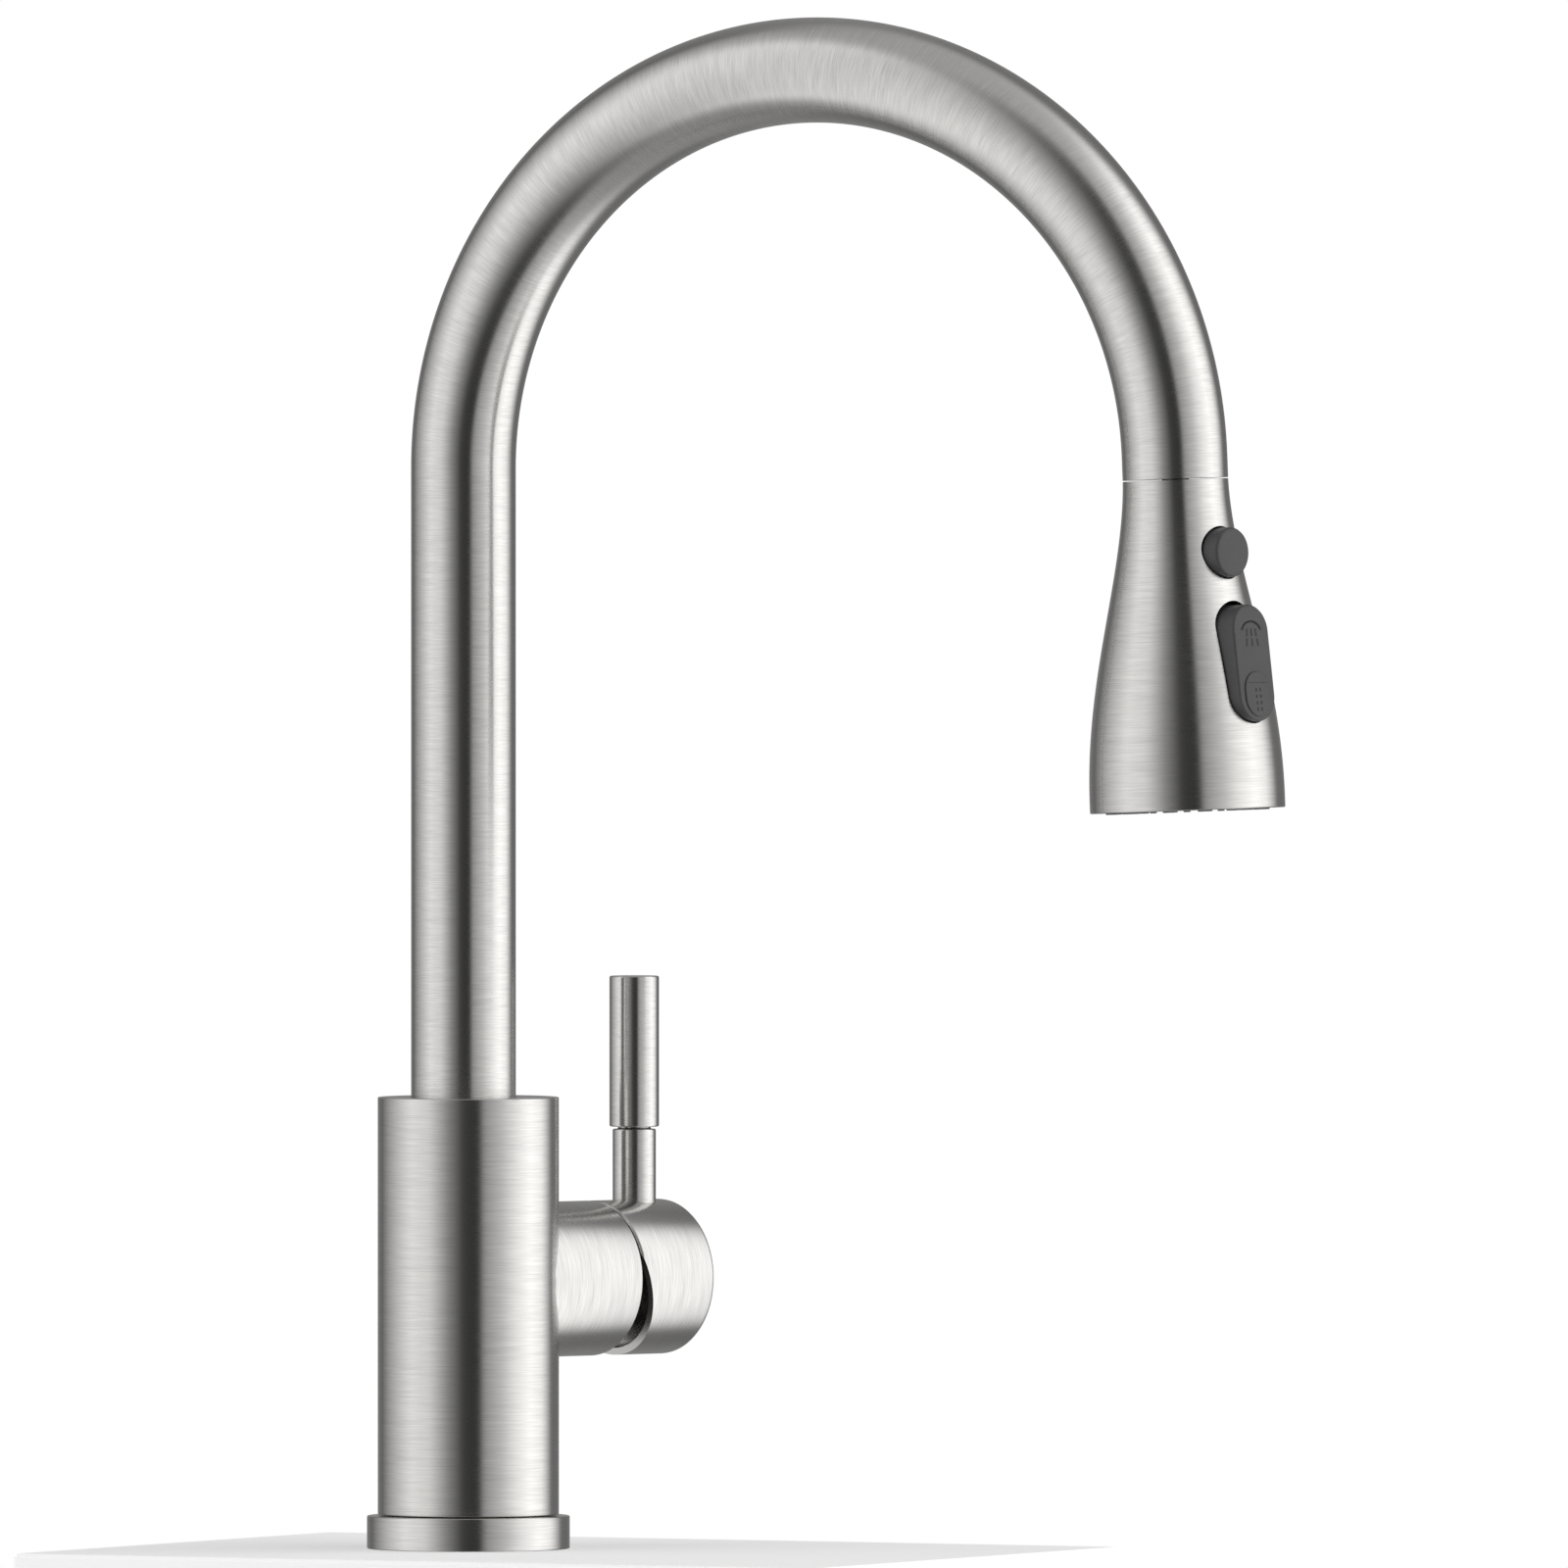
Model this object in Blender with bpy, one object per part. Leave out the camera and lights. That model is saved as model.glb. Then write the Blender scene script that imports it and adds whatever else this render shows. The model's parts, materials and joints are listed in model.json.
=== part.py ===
"""Pull-down kitchen faucet with a side lever, modelled as an assembly of its separate pieces.

Lengths in this file are millimetres and the mesh builders turn them into metres. +Z is up, the origin is
the centre of the base flange on the worktop, and the spout reaches along +X. Pieces are drawn in the frame
of the group that they belong to: the upright body, the swivel axis, the handle axis or the spray head.
"""

import math
from collections import namedtuple

import bmesh
import bpy
from mathutils import Matrix, Vector

MM = 0.001
ROUND = 24       # sides of an ordinary turned piece
FINE = 36        # sides of a large outer surface
SMALL = 12       # sides of a small pin or hole
PIN_HOLE_R = 1.3  # running hole for the small 2 mm pins
TOUCH = 0.3      # gap left between two pieces that rest on each other

# Gooseneck spout
SWIVEL_X = -1.45         # the swivel axis sits slightly behind the body's axis
TUBE_R = 14.0
TUBE_WALL = 1.2
TUBE_FOOT_Z = 94.0
ARC_R = 106.4
ARC_CENTRE_Z = 288.6
ARC_SHORT_DEG = 2.4      # the arc stops this far short of half a turn, so the head leans outward
DOCK_STRAIGHT = 6.2      # straight run between the arc and the spray head
HOSE_R = 5.5
HOSE_BORE = 3.6

# Body
BODY_R = 24.2
BODY_WALL = 1.5
BODY_FOOT_Z = 9.1
BODY_TOP_Z = 120.6
FLANGE_R = 27.1
FLANGE_H = 8.8
BUSH_BORE = 14.3
SHANK_R = 16.3
SHANK_BORE = 14.2
SHANK_FOOT_Z = -55.0
WORKTOP = 20.0           # thickness of the worktop that the nut is shown tightened for

# Handle group, measured along the handle axis from the body's axis
HANDLE_Z = 71.3
HANDLE_DEG = 70.8        # direction of the handle axis, turned from +X
BARREL_R = 20.75
BARREL_BORE = 18.6
BARREL_END = 44.6
TILT_AT = 43.0           # the pin that the lever tilts on
HUB_NEAR = 45.4
HUB_FAR = 71.2
HUB_BORE = 18.9
HUB_FLOOR = 56.0
WEDGE_TOP = 7.0          # height over the axis where the hub's rim starts to slope away
WEDGE_SLOPE = 0.29
LEVER_AT = 60.9
LEVER_R = 5.8
GRIP_R = 6.65
GRIP_FOOT_Z = 111.6
GRIP_TOP_Z = 152.0
STEM_X = 3.0             # half of the stem's height
STEM_Y = 2.5             # half of the stem's width
PORTS = ((-5.0, -7.6), (-5.0, 7.6), (8.0, 0.0))   # hot, cold and mixed water, across the cartridge

# Spray head, measured down from the seam under the spout tube
HEAD_MOUTH_R = 25.9
HEAD_RAMP = 85.0
HEAD_RAMP_POWER = 0.87
HEAD_LENGTH = 87.9
HEAD_WALL = 1.3
HEAD_FACING_DEG = -14.7  # direction that the buttons face, turned from +X
BUTTON_DOWN = 20.0
BUTTON_R = 6.6
BUTTON_FACE = 19.5       # distance of the button's face from the head's axis
ROCKER_DOWN = 49.5
ROCKER_HALF_W = 7.0
ROCKER_HALF_L = 15.5
ROCKER_PIVOT = 17.0      # distance of the rocker's pin from the head's axis
ROCKER_FACE = 8.5        # from the pin out to the middle of the rocker's face
ROCKER_THICK = 6.5
ROCKER_SLOPE = 0.0886    # the face leans outward towards the mouth
SLOT_HALF_W = 7.5
SLOT_UP = 16.7
SLOT_DOWN = 16.0
NOZZLE_RINGS = ((12.4, 8), (16.6, 11), (20.8, 14))   # ring radius and number of nozzles

Place = namedtuple("Place", "frame pivot")
world_frames = {}


# ---------------------------------------------------------------- materials

def material(name, colour, roughness, metallic):
    made = bpy.data.materials.get(name)
    if made is None:
        made = bpy.data.materials.new(name)
        made.use_nodes = True
        shader = made.node_tree.nodes["Principled BSDF"]
        shader.inputs["Base Color"].default_value = (*colour, 1.0)
        shader.inputs["Roughness"].default_value = roughness
        shader.inputs["Metallic"].default_value = metallic
    return made


def brushed_steel():
    return material("brushed_steel", (0.60, 0.59, 0.57), 0.32, 1.0)


def plain_steel():
    return material("plain_steel", (0.55, 0.55, 0.55), 0.40, 1.0)


def brass():
    return material("brass", (0.72, 0.55, 0.28), 0.35, 1.0)


def black_plastic():
    return material("black_plastic", (0.035, 0.035, 0.037), 0.50, 0.0)


def charcoal_plastic():
    return material("charcoal_plastic", (0.075, 0.075, 0.079), 0.45, 0.0)


def white_plastic():
    return material("white_plastic", (0.80, 0.80, 0.78), 0.45, 0.0)


def black_rubber():
    return material("black_rubber", (0.03, 0.03, 0.03), 0.75, 0.0)


def grey_rubber():
    return material("grey_rubber", (0.16, 0.16, 0.17), 0.70, 0.0)


def ceramic():
    return material("ceramic", (0.86, 0.85, 0.82), 0.30, 0.0)


def magnet():
    return material("magnet", (0.20, 0.20, 0.21), 0.45, 0.8)


def braided_hose():
    return material("braided_hose", (0.30, 0.30, 0.31), 0.60, 0.0)


# ---------------------------------------------------------------- placing

def clear_scene():
    for obj in list(bpy.data.objects):
        bpy.data.objects.remove(obj, do_unlink=True)


def attach(obj, frame, parent):
    """Puts the object at a world frame, under a parent that may itself be placed anywhere."""
    if parent is not None:
        obj.parent = parent
        obj.matrix_parent_inverse = world_frames[parent.name].inverted()
    obj.matrix_basis = frame
    world_frames[obj.name] = frame.copy()


def pivot(name, frame, parent):
    """An empty on a joint's axis, which the moving pieces hang from."""
    empty = bpy.data.objects.new(name, None)
    empty.empty_display_size = 0.02
    bpy.context.scene.collection.objects.link(empty)
    attach(empty, frame, parent)
    return empty


def shift(x, y, z):
    return Matrix.Translation((x * MM, y * MM, z * MM))


def frame_of(x_axis, z_axis, origin):
    """A frame from its X and Z directions and its origin in millimetres."""
    z = Vector(z_axis).normalized()
    x = Vector(x_axis)
    x = (x - x.dot(z) * z).normalized()
    y = z.cross(x)
    turned_frame = Matrix((x, y, z)).transposed().to_4x4()
    return shift(*origin) @ turned_frame


def handle_direction():
    angle = math.radians(HANDLE_DEG)
    return Vector((math.cos(angle), math.sin(angle), 0.0))


def head_direction():
    """The way down the spray head, and the way that it's pulled out."""
    lean = math.radians(ARC_SHORT_DEG)
    return Vector((math.sin(lean), 0.0, -math.cos(lean)))


def arc_point(turn):
    """A point on the centreline of the arc, which starts at turn 0 over the body."""
    return Vector((
        SWIVEL_X + ARC_R - ARC_R * math.cos(turn),
        0.0,
        ARC_CENTRE_Z + ARC_R * math.sin(turn),
    ))


def seam_point():
    """Where the spray head meets the end of the spout tube."""
    lean = math.radians(ARC_SHORT_DEG)
    return arc_point(math.pi - lean) + DOCK_STRAIGHT * head_direction()


def head_frame():
    """X is the way that the buttons face, and Z points up the head from the seam."""
    facing = math.radians(HEAD_FACING_DEG)
    return frame_of((math.cos(facing), math.sin(facing), 0.0), -head_direction(), seam_point())


def make_places():
    """Every group's frame, with the empty of the body that it moves with."""
    upright = Matrix.Identity(4)
    swivel = shift(SWIVEL_X, 0, 0)
    side = frame_of((0, 0, 1), handle_direction(), (0, 0, HANDLE_Z))
    lever = shift(*(handle_direction() * LEVER_AT)) @ Matrix.Rotation(math.radians(HANDLE_DEG), 4, "Z")
    head = head_frame()
    rocker = head @ shift(ROCKER_PIVOT, 0, -ROCKER_DOWN)
    button = head @ shift(0, 0, -BUTTON_DOWN) @ Matrix.Rotation(math.radians(90), 4, "Y")
    spout_pivot = pivot("spout_swivel_pivot", swivel, None)
    hose_pivot = pivot("hose_pull_pivot", head, spout_pivot)
    head_pivot = pivot("head_swivel_pivot", head, hose_pivot)
    button_pivot = pivot("pause_press_pivot", button, head_pivot)
    rocker_pivot = pivot("mode_tilt_pivot", rocker, head_pivot)
    spool_pivot = pivot("spool_slide_pivot", head, head_pivot)
    mixer_pivot = pivot("temperature_turn_pivot", side, None)
    disc_pivot = pivot("disc_slide_pivot", side, mixer_pivot)
    tilt_pivot = pivot("lever_tilt_pivot", side @ shift(0, 0, TILT_AT), mixer_pivot)
    return {
        "base": Place(upright, None),
        "base_swivel": Place(swivel, None),
        "base_side": Place(side, None),
        "spout": Place(swivel, spout_pivot),
        "spout_end": Place(head, spout_pivot),
        "spout_world": Place(upright, spout_pivot),
        "hose_end": Place(head, hose_pivot),
        "head": Place(head, head_pivot),
        "button": Place(button, button_pivot),
        "rocker": Place(rocker, rocker_pivot),
        "spool": Place(head, spool_pivot),
        "mixer": Place(side, mixer_pivot),
        "disc": Place(side, disc_pivot),
        "handle": Place(side, tilt_pivot),
        "lever": Place(lever, tilt_pivot),
    }


# ---------------------------------------------------------------- mesh builders

def finish_mesh(name, bm, place, made_of):
    bmesh.ops.recalc_face_normals(bm, faces=bm.faces)
    mesh = bpy.data.meshes.new(name)
    bm.to_mesh(mesh)
    bm.free()
    mesh.shade_smooth()
    mesh.set_sharp_from_angle(angle=math.radians(30))
    obj = bpy.data.objects.new(name, mesh)
    bpy.context.scene.collection.objects.link(obj)
    if made_of is not None:
        mesh.materials.append(made_of)
    attach(obj, place.frame, place.pivot)
    return obj


def join_rings(bm, ring, following):
    """Faces between two rings of points, either of which may be a single point on the axis."""
    count = max(len(ring), len(following))
    if count == 1:
        return
    for i in range(count):
        j = (i + 1) % count
        if len(ring) == 1:
            bm.faces.new((ring[0], following[i], following[j]))
        elif len(following) == 1:
            bm.faces.new((ring[i], following[0], ring[j]))
        else:
            bm.faces.new((ring[i], following[i], following[j], ring[j]))


def turned_rings(bm, outline, sides, spin=0.0):
    """A closed outline of (radius, height) turned about Z."""
    rings = []
    for radius, height in outline:
        if radius < 1e-6:
            rings.append([bm.verts.new((0.0, 0.0, height * MM))])
            continue
        ring = []
        for i in range(sides):
            angle = spin + math.tau * i / sides
            across = radius * MM * math.cos(angle)
            along = radius * MM * math.sin(angle)
            ring.append(bm.verts.new((across, along, height * MM)))
        rings.append(ring)
    for ring, following in zip(rings, rings[1:] + rings[:1]):
        join_rings(bm, ring, following)


def turned(name, outline, place, made_of, sides=ROUND, spin=0.0):
    bm = bmesh.new()
    turned_rings(bm, outline, sides, spin)
    return finish_mesh(name, bm, place, made_of)


def rod_outline(radius, low, high):
    return [(0.0, low), (radius, low), (radius, high), (0.0, high)]


def ring_outline(inner, outer, low, high):
    return [(inner, low), (outer, low), (outer, high), (inner, high)]


def chamfered_ring_outline(inner, outer, low, high, chamfer):
    return [
        (inner, low), (outer - chamfer, low), (outer, low + chamfer),
        (outer, high - chamfer), (outer - chamfer, high), (inner, high),
    ]


def torus_outline(major, minor, height, points=8):
    outline = []
    for i in range(points):
        angle = math.tau * i / points
        outline.append((major + minor * math.cos(angle), height + minor * math.sin(angle)))
    return outline


def box_rings(bm, low, high):
    corners = []
    for z in (low[2], high[2]):
        corners.append([
            bm.verts.new((x * MM, y * MM, z * MM))
            for x, y in ((low[0], low[1]), (high[0], low[1]), (high[0], high[1]), (low[0], high[1]))
        ])
    join_rings(bm, corners[0], corners[1])
    bm.faces.new(corners[0])
    bm.faces.new(corners[1])


def box(name, low, high, place, made_of):
    bm = bmesh.new()
    box_rings(bm, low, high)
    return finish_mesh(name, bm, place, made_of)


def stadium(half_width, up, down, steps=8):
    """A slot's outline in the Y-Z plane, with round ends, reaching from up to -down along Z."""
    outline = []
    for centre, start in ((up - half_width, 0.0), (-down + half_width, math.pi)):
        for i in range(steps + 1):
            angle = start + math.pi * i / steps
            outline.append((half_width * math.cos(angle), centre + half_width * math.sin(angle)))
    return outline


def slab(name, outline, near, far, place, made_of, slope=0.0):
    """An outline in the Y-Z plane, extruded along X, and sheared so that X falls as Z rises."""
    bm = bmesh.new()
    rings = []
    for x in (near, far):
        rings.append([bm.verts.new(((x - slope * z) * MM, y * MM, z * MM)) for y, z in outline])
    join_rings(bm, rings[0], rings[1])
    bm.faces.new(rings[0])
    bm.faces.new(rings[1])
    return finish_mesh(name, bm, place, made_of)


def swept_tube(name, path, outer, bore, sides, place, made_of):
    """A tube along points in the X-Z plane, given as (point, direction)."""
    bm = bmesh.new()
    skins = []
    for radius in (outer, bore):
        rings = []
        for point, direction in path:
            inward = Vector((0.0, 1.0, 0.0)).cross(direction)
            ring = []
            for i in range(sides):
                angle = math.tau * i / sides
                offset = radius * (math.cos(angle) * inward + math.sin(angle) * Vector((0.0, 1.0, 0.0)))
                ring.append(bm.verts.new((point + offset) * MM))
            rings.append(ring)
        for ring, following in zip(rings, rings[1:]):
            join_rings(bm, ring, following)
        skins.append(rings)
    join_rings(bm, skins[0][0], skins[1][0])
    join_rings(bm, skins[0][-1], skins[1][-1])
    return finish_mesh(name, bm, place, made_of)


def hidden_helper(obj):
    obj.hide_render = True
    obj.display_type = "WIRE"
    return obj


def add_boolean(obj, other, operation):
    hidden_helper(other)
    modifier = obj.modifiers.new(other.name, "BOOLEAN")
    modifier.operation = operation
    modifier.object = other


def cut(obj, *cutters):
    for cutter in cutters:
        add_boolean(obj, cutter, "DIFFERENCE")


def join(obj, *others):
    for other in others:
        add_boolean(obj, other, "UNION")


def aimed(place, axis):
    """The same place with its Z turned onto another of its axes."""
    turns = {"X": ("Y", 90.0), "Y": ("X", -90.0)}
    about, degrees = turns[axis]
    return Place(place.frame @ Matrix.Rotation(math.radians(degrees), 4, about), place.pivot)


def moved(place, x, y, z):
    return Place(place.frame @ shift(x, y, z), place.pivot)


def drill(name, radius, low, high, place, sides=SMALL):
    return turned(name, rod_outline(radius, low, high), place, None, sides)


# ---------------------------------------------------------------- routes and curves

def spout_path(foot_z, short_of_seam, arc_steps):
    """Points and directions from a foot, up and over the arc, ending this far short of the seam."""
    up = Vector((0.0, 0.0, 1.0))
    path = [(Vector((SWIVEL_X, 0.0, foot_z)), up)]
    arc_left_out = max(short_of_seam - DOCK_STRAIGHT, 0.0)
    sweep = math.pi - math.radians(ARC_SHORT_DEG) - arc_left_out / ARC_R
    for i in range(arc_steps + 1):
        turn = sweep * i / arc_steps
        path.append((arc_point(turn), Vector((math.sin(turn), 0.0, math.cos(turn)))))
    if short_of_seam < DOCK_STRAIGHT:
        path.append((seam_point() - short_of_seam * head_direction(), head_direction()))
    return path


def head_radius(down):
    """Outer radius of the spray head: a neck that swells in an S-curve to the mouth."""
    along = min(down / HEAD_RAMP, 1.0) ** HEAD_RAMP_POWER
    return TUBE_R + (HEAD_MOUTH_R - TUBE_R) * math.sin(along * math.pi / 2) ** 2


def head_curve(start, end, steps, inset):
    """Points (radius, height) on the head's surface, moved in by the inset."""
    points = []
    for i in range(steps + 1):
        down = start + (end - start) * i / steps
        points.append((head_radius(down) - inset, -down))
    return points


# ---------------------------------------------------------------- base and body

def make_base(places):
    turned(
        "base_flange",
        [(17.0, 0.0), (18.5, 0.0), (18.5, 2.2), (22.5, 2.2), (22.5, 0.0), (FLANGE_R - 0.3, 0.0),
         (FLANGE_R, 0.3), (FLANGE_R, FLANGE_H - 0.4), (FLANGE_R - 0.4, FLANGE_H), (17.0, FLANGE_H)],
        places["base"], brushed_steel(), FINE,
    )
    turned("base_seal", ring_outline(18.8, 22.2, 0.0, 1.9), places["base"], black_rubber())


def make_body_shell(places):
    upright = places["base"]
    side = places["base_side"]
    cavity_r = BODY_R - BODY_WALL
    shell = turned(
        "body_shell",
        [(0.0, BODY_FOOT_Z), (BODY_R, BODY_FOOT_Z), (BODY_R, BODY_TOP_Z - 0.3),
         (BODY_R - 0.3, BODY_TOP_Z), (0.0, BODY_TOP_Z)],
        upright, brushed_steel(), FINE,
    )
    join(shell, drill("barrel_blank", BARREL_R, 0.0, BARREL_END, side, FINE))
    cut(
        shell,
        drill("body_cavity", cavity_r, BODY_FOOT_Z + 6.0, BODY_TOP_Z - 3.2, upright, FINE),
        drill("spout_bore", BUSH_BORE, BODY_TOP_Z - 8.0, BODY_TOP_Z + 5.0, places["base_swivel"], ROUND),
        drill("shank_bore", SHANK_R + TOUCH, BODY_FOOT_Z - 4.0, BODY_FOOT_Z + 8.0, upright, ROUND),
        drill("barrel_bore", BARREL_BORE, 8.0, BARREL_END + 6.0, side, FINE),
    )


def make_swivel(places):
    """The socket in the top of the body that the spout turns in."""
    swivel = places["base_swivel"]
    turned(
        "swivel_socket",
        [(15.2, 92.6), (20.9, 92.6), (20.9, 117.0), (17.3, 117.0), (17.3, 94.7), (15.2, 94.7)],
        swivel, brass(),
    )
    turned("lower_bush", ring_outline(BUSH_BORE, 17.0, 95.0, 100.0), swivel, white_plastic())
    turned("upper_bush", ring_outline(BUSH_BORE, 17.0, 109.0, 116.8), swivel, white_plastic())
    turned("swivel_o_ring", torus_outline(15.65, 1.2, 107.4), swivel, black_rubber())
    clip = turned("retaining_ring", ring_outline(14.5, 17.0, 104.6, 105.8), swivel, plain_steel())
    cut(clip, box("clip_gap", (10.0, -3.0, 104.0), (20.0, 3.0, 107.0), swivel, None))
    turned("spout_collar", ring_outline(BUSH_BORE, 16.9, 100.3, 104.3), places["spout"], brass())


def thread_outline(bore, crest, depth, top, thread_top, foot, pitch):
    """A threaded pipe's outline, with the thread drawn as rings."""
    outline = [(bore, top), (crest, top), (crest, thread_top)]
    turns = int((thread_top - foot) / pitch)
    for i in range(turns):
        height = thread_top - pitch * i
        outline.append((crest - depth, height - pitch * 0.5))
        outline.append((crest, height - pitch * 0.98))
    outline.append((crest - depth, foot))
    outline.append((bore, foot))
    return outline


def make_deck_fixings(places):
    """The threaded shank under the flange, and what clamps it to the worktop."""
    upright = places["base"]
    turned(
        "mounting_shank",
        thread_outline(SHANK_BORE, SHANK_R, 0.8, 14.6, -8.0, SHANK_FOOT_Z, 4.0),
        upright, brass(), 20,
    )
    turned("rubber_washer", ring_outline(17.0, 27.0, -WORKTOP - 3.0, -WORKTOP), upright, black_rubber())
    turned("steel_washer", ring_outline(17.0, 26.0, -WORKTOP - 5.2, -WORKTOP - 3.3), upright, plain_steel())
    nut = turned("mounting_nut", rod_outline(25.5, -WORKTOP - 17.0, -WORKTOP - 5.5), upright, brass(), 6)
    cut(nut, drill("nut_bore", SHANK_R + TOUCH, -WORKTOP - 20.0, -WORKTOP, upright, ROUND))


# ---------------------------------------------------------------- mixing cartridge

def port_drills(prefix, radius, low, high, side):
    return [
        drill(f"{prefix}_{i}", radius, low, high, moved(side, x, y, 0.0), 12)
        for i, (x, y) in enumerate(PORTS)
    ]


def make_valve_block(places):
    """The brass block that the cartridge sits on, with three threaded ports facing down."""
    side = places["base_side"]
    block = turned("valve_block", rod_outline(18.2, 11.6, 16.0), side, brass())
    join(block, box("block_foot", (-30.0, -12.0, 6.0), (12.5, 12.0, 15.6), side, None))
    cut(block, *port_drills("block_port", 2.2, 9.5, 18.0, side))
    for i, (x, y) in enumerate(PORTS):
        channel = aimed(moved(side, 0.0, y, 11.0), "X")
        cut(block, drill(f"block_channel_{i}", 2.0, -32.0, x, channel, 12))
        cut(block, drill(f"block_thread_{i}", 3.4, -32.0, -21.0, channel, 12))


def make_cartridge(places):
    side = places["base_side"]
    gasket = turned("port_gasket", rod_outline(12.4, 16.3, 17.7), side, black_rubber())
    cut(gasket, *port_drills("gasket_port", 2.8, 15.0, 19.0, side))
    base = turned("cartridge_base", rod_outline(15.4, 18.0, 21.5), side, white_plastic())
    cut(base, *port_drills("base_port", 2.4, 17.0, 23.0, side))
    fixed = turned("fixed_disc", rod_outline(13.5, 21.8, 24.6), side, ceramic())
    cut(fixed, *port_drills("disc_port", 2.4, 21.0, 26.0, side))
    turned(
        "cartridge_housing",
        [(15.8, 18.0), (17.2, 18.0), (17.2, 37.7), (12.4, 37.7), (12.4, 45.0),
         (10.4, 45.0), (10.4, 35.6), (15.8, 35.6)],
        side, white_plastic(),
    )
    turned("cartridge_nut", ring_outline(12.8, 18.2, 38.0, 43.0), side, brass())
    turned(
        "bonnet",
        [(18.0, 43.3), (18.0, 46.6), (17.2, 47.6), (12.6, 50.0), (11.8, 50.0),
         (11.8, 48.9), (16.2, 46.6), (16.2, 43.3)],
        side, black_plastic(),
    )


def make_mixer(places):
    """What turns with the lever inside the cartridge: the turret, and the disc that slides under it."""
    mixer = places["mixer"]
    turret = turned(
        "swivel_turret",
        [(0.0, 32.0), (13.5, 32.0), (13.5, 35.2), (10.1, 35.2), (10.1, 46.5), (0.0, 46.5)],
        mixer, white_plastic(),
    )
    cut(
        turret,
        box("stem_slot", (-5.4, -2.9, 30.0), (8.0, 2.9, 48.0), mixer, None),
        drill("turret_pin_hole", PIN_HOLE_R, -12.0, 12.0, aimed(moved(mixer, 0.0, 0.0, TILT_AT), "Y"), 12),
    )
    turned(
        "stem_pin", rod_outline(1.0, -9.4, 9.4),
        aimed(moved(mixer, 0.0, 0.0, TILT_AT), "Y"), plain_steel(), SMALL,
    )
    carrier = turned("disc_carrier", rod_outline(10.8, 28.2, 31.6), places["disc"], black_plastic())
    cut(carrier, drill("finger_socket", 3.2, 28.9, 33.0, places["disc"]))
    disc = turned("moving_disc", rod_outline(10.6, 24.9, 27.9), places["disc"], ceramic())
    cut(disc, drill("mixing_pocket", 5.5, 23.0, 26.4, places["disc"]))


# ---------------------------------------------------------------- handle

def make_stem(places):
    handle = places["handle"]
    stem = box("cartridge_stem", (-STEM_X, -STEM_Y, 33.0), (STEM_X, STEM_Y, 66.0), handle, plain_steel())
    join(stem, drill("stem_finger", 2.3, 29.4, 35.0, handle))
    cut(stem, drill("stem_pin_hole", PIN_HOLE_R, -8.0, 8.0, aimed(moved(handle, 0.0, 0.0, TILT_AT), "Y"), 12))


def make_hub(places):
    handle = places["handle"]
    edge = 1.2
    hub = turned(
        "handle_hub",
        [
            (0.0, HUB_NEAR), (BARREL_R, HUB_NEAR), (BARREL_R, HUB_FAR - edge),
            (BARREL_R - 0.35 * edge, HUB_FAR - 0.35 * edge), (BARREL_R - edge, HUB_FAR), (0.0, HUB_FAR),
        ],
        handle, brushed_steel(), FINE,
    )
    boss_r = 6.5
    boss_foot = 51.5
    cavity = turned(
        "hub_cavity",
        [(0.0, HUB_NEAR - 2.0), (HUB_BORE, HUB_NEAR - 2.0), (HUB_BORE, HUB_FLOOR),
         (boss_r, HUB_FLOOR), (boss_r, boss_foot), (0.0, boss_foot)],
        handle, None, FINE,
    )
    upward = aimed(moved(handle, 0.0, 0.0, LEVER_AT), "X")
    socket_x = STEM_X + TOUCH
    socket_y = STEM_Y + TOUCH
    cut(
        hub, cavity, hub_wedge(handle),
        box("stem_socket", (-socket_x, -socket_y, 50.0), (socket_x, socket_y, 66.4), handle, None),
        drill("lever_thread", 4.1, 2.0, 22.0, upward),
        drill("lever_seat", LEVER_R + TOUCH, 19.0, 24.0, upward, ROUND),
    )


def hub_wedge(place):
    """The cutter that slopes the lower part of the hub's rim away from the barrel."""
    lowest = -26.0
    start = HUB_NEAR - 4.0
    corners = [
        (start, WEDGE_TOP), (HUB_NEAR, WEDGE_TOP),
        (HUB_NEAR + WEDGE_SLOPE * (WEDGE_TOP - lowest), lowest), (start, lowest),
    ]
    bm = bmesh.new()
    rings = []
    for y in (-30.0, 30.0):
        rings.append([bm.verts.new((x * MM, y * MM, s * MM)) for s, x in corners])
    join_rings(bm, rings[0], rings[1])
    bm.faces.new(rings[0])
    bm.faces.new(rings[1])
    return finish_mesh("hub_wedge", bm, place, None)


def make_lever(places):
    lever = places["lever"]
    turned(
        "lever_rod",
        [
            (0.0, 80.6), (3.7, 80.6), (3.7, 90.6), (LEVER_R, 90.6), (LEVER_R, 110.5),
            (LEVER_R - 0.5, 111.0), (4.4, 111.0), (4.4, 147.5), (0.0, 147.5),
        ],
        lever, brushed_steel(),
    )
    turned(
        "lever_grip",
        [
            (4.7, GRIP_FOOT_Z), (GRIP_R - 0.4, GRIP_FOOT_Z), (GRIP_R, GRIP_FOOT_Z + 0.4),
            (GRIP_R, GRIP_TOP_Z - 0.4), (GRIP_R - 0.4, GRIP_TOP_Z), (0.0, GRIP_TOP_Z),
            (0.0, 148.0), (4.7, 148.0),
        ],
        lever, brushed_steel(),
    )
    screw = turned("hub_set_screw", rod_outline(3.7, 74.9, 80.0), lever, plain_steel(), SMALL)
    cut(screw, drill("hex_socket", 1.9, 77.5, 82.0, lever, 6))


# ---------------------------------------------------------------- spout and hose

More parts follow.
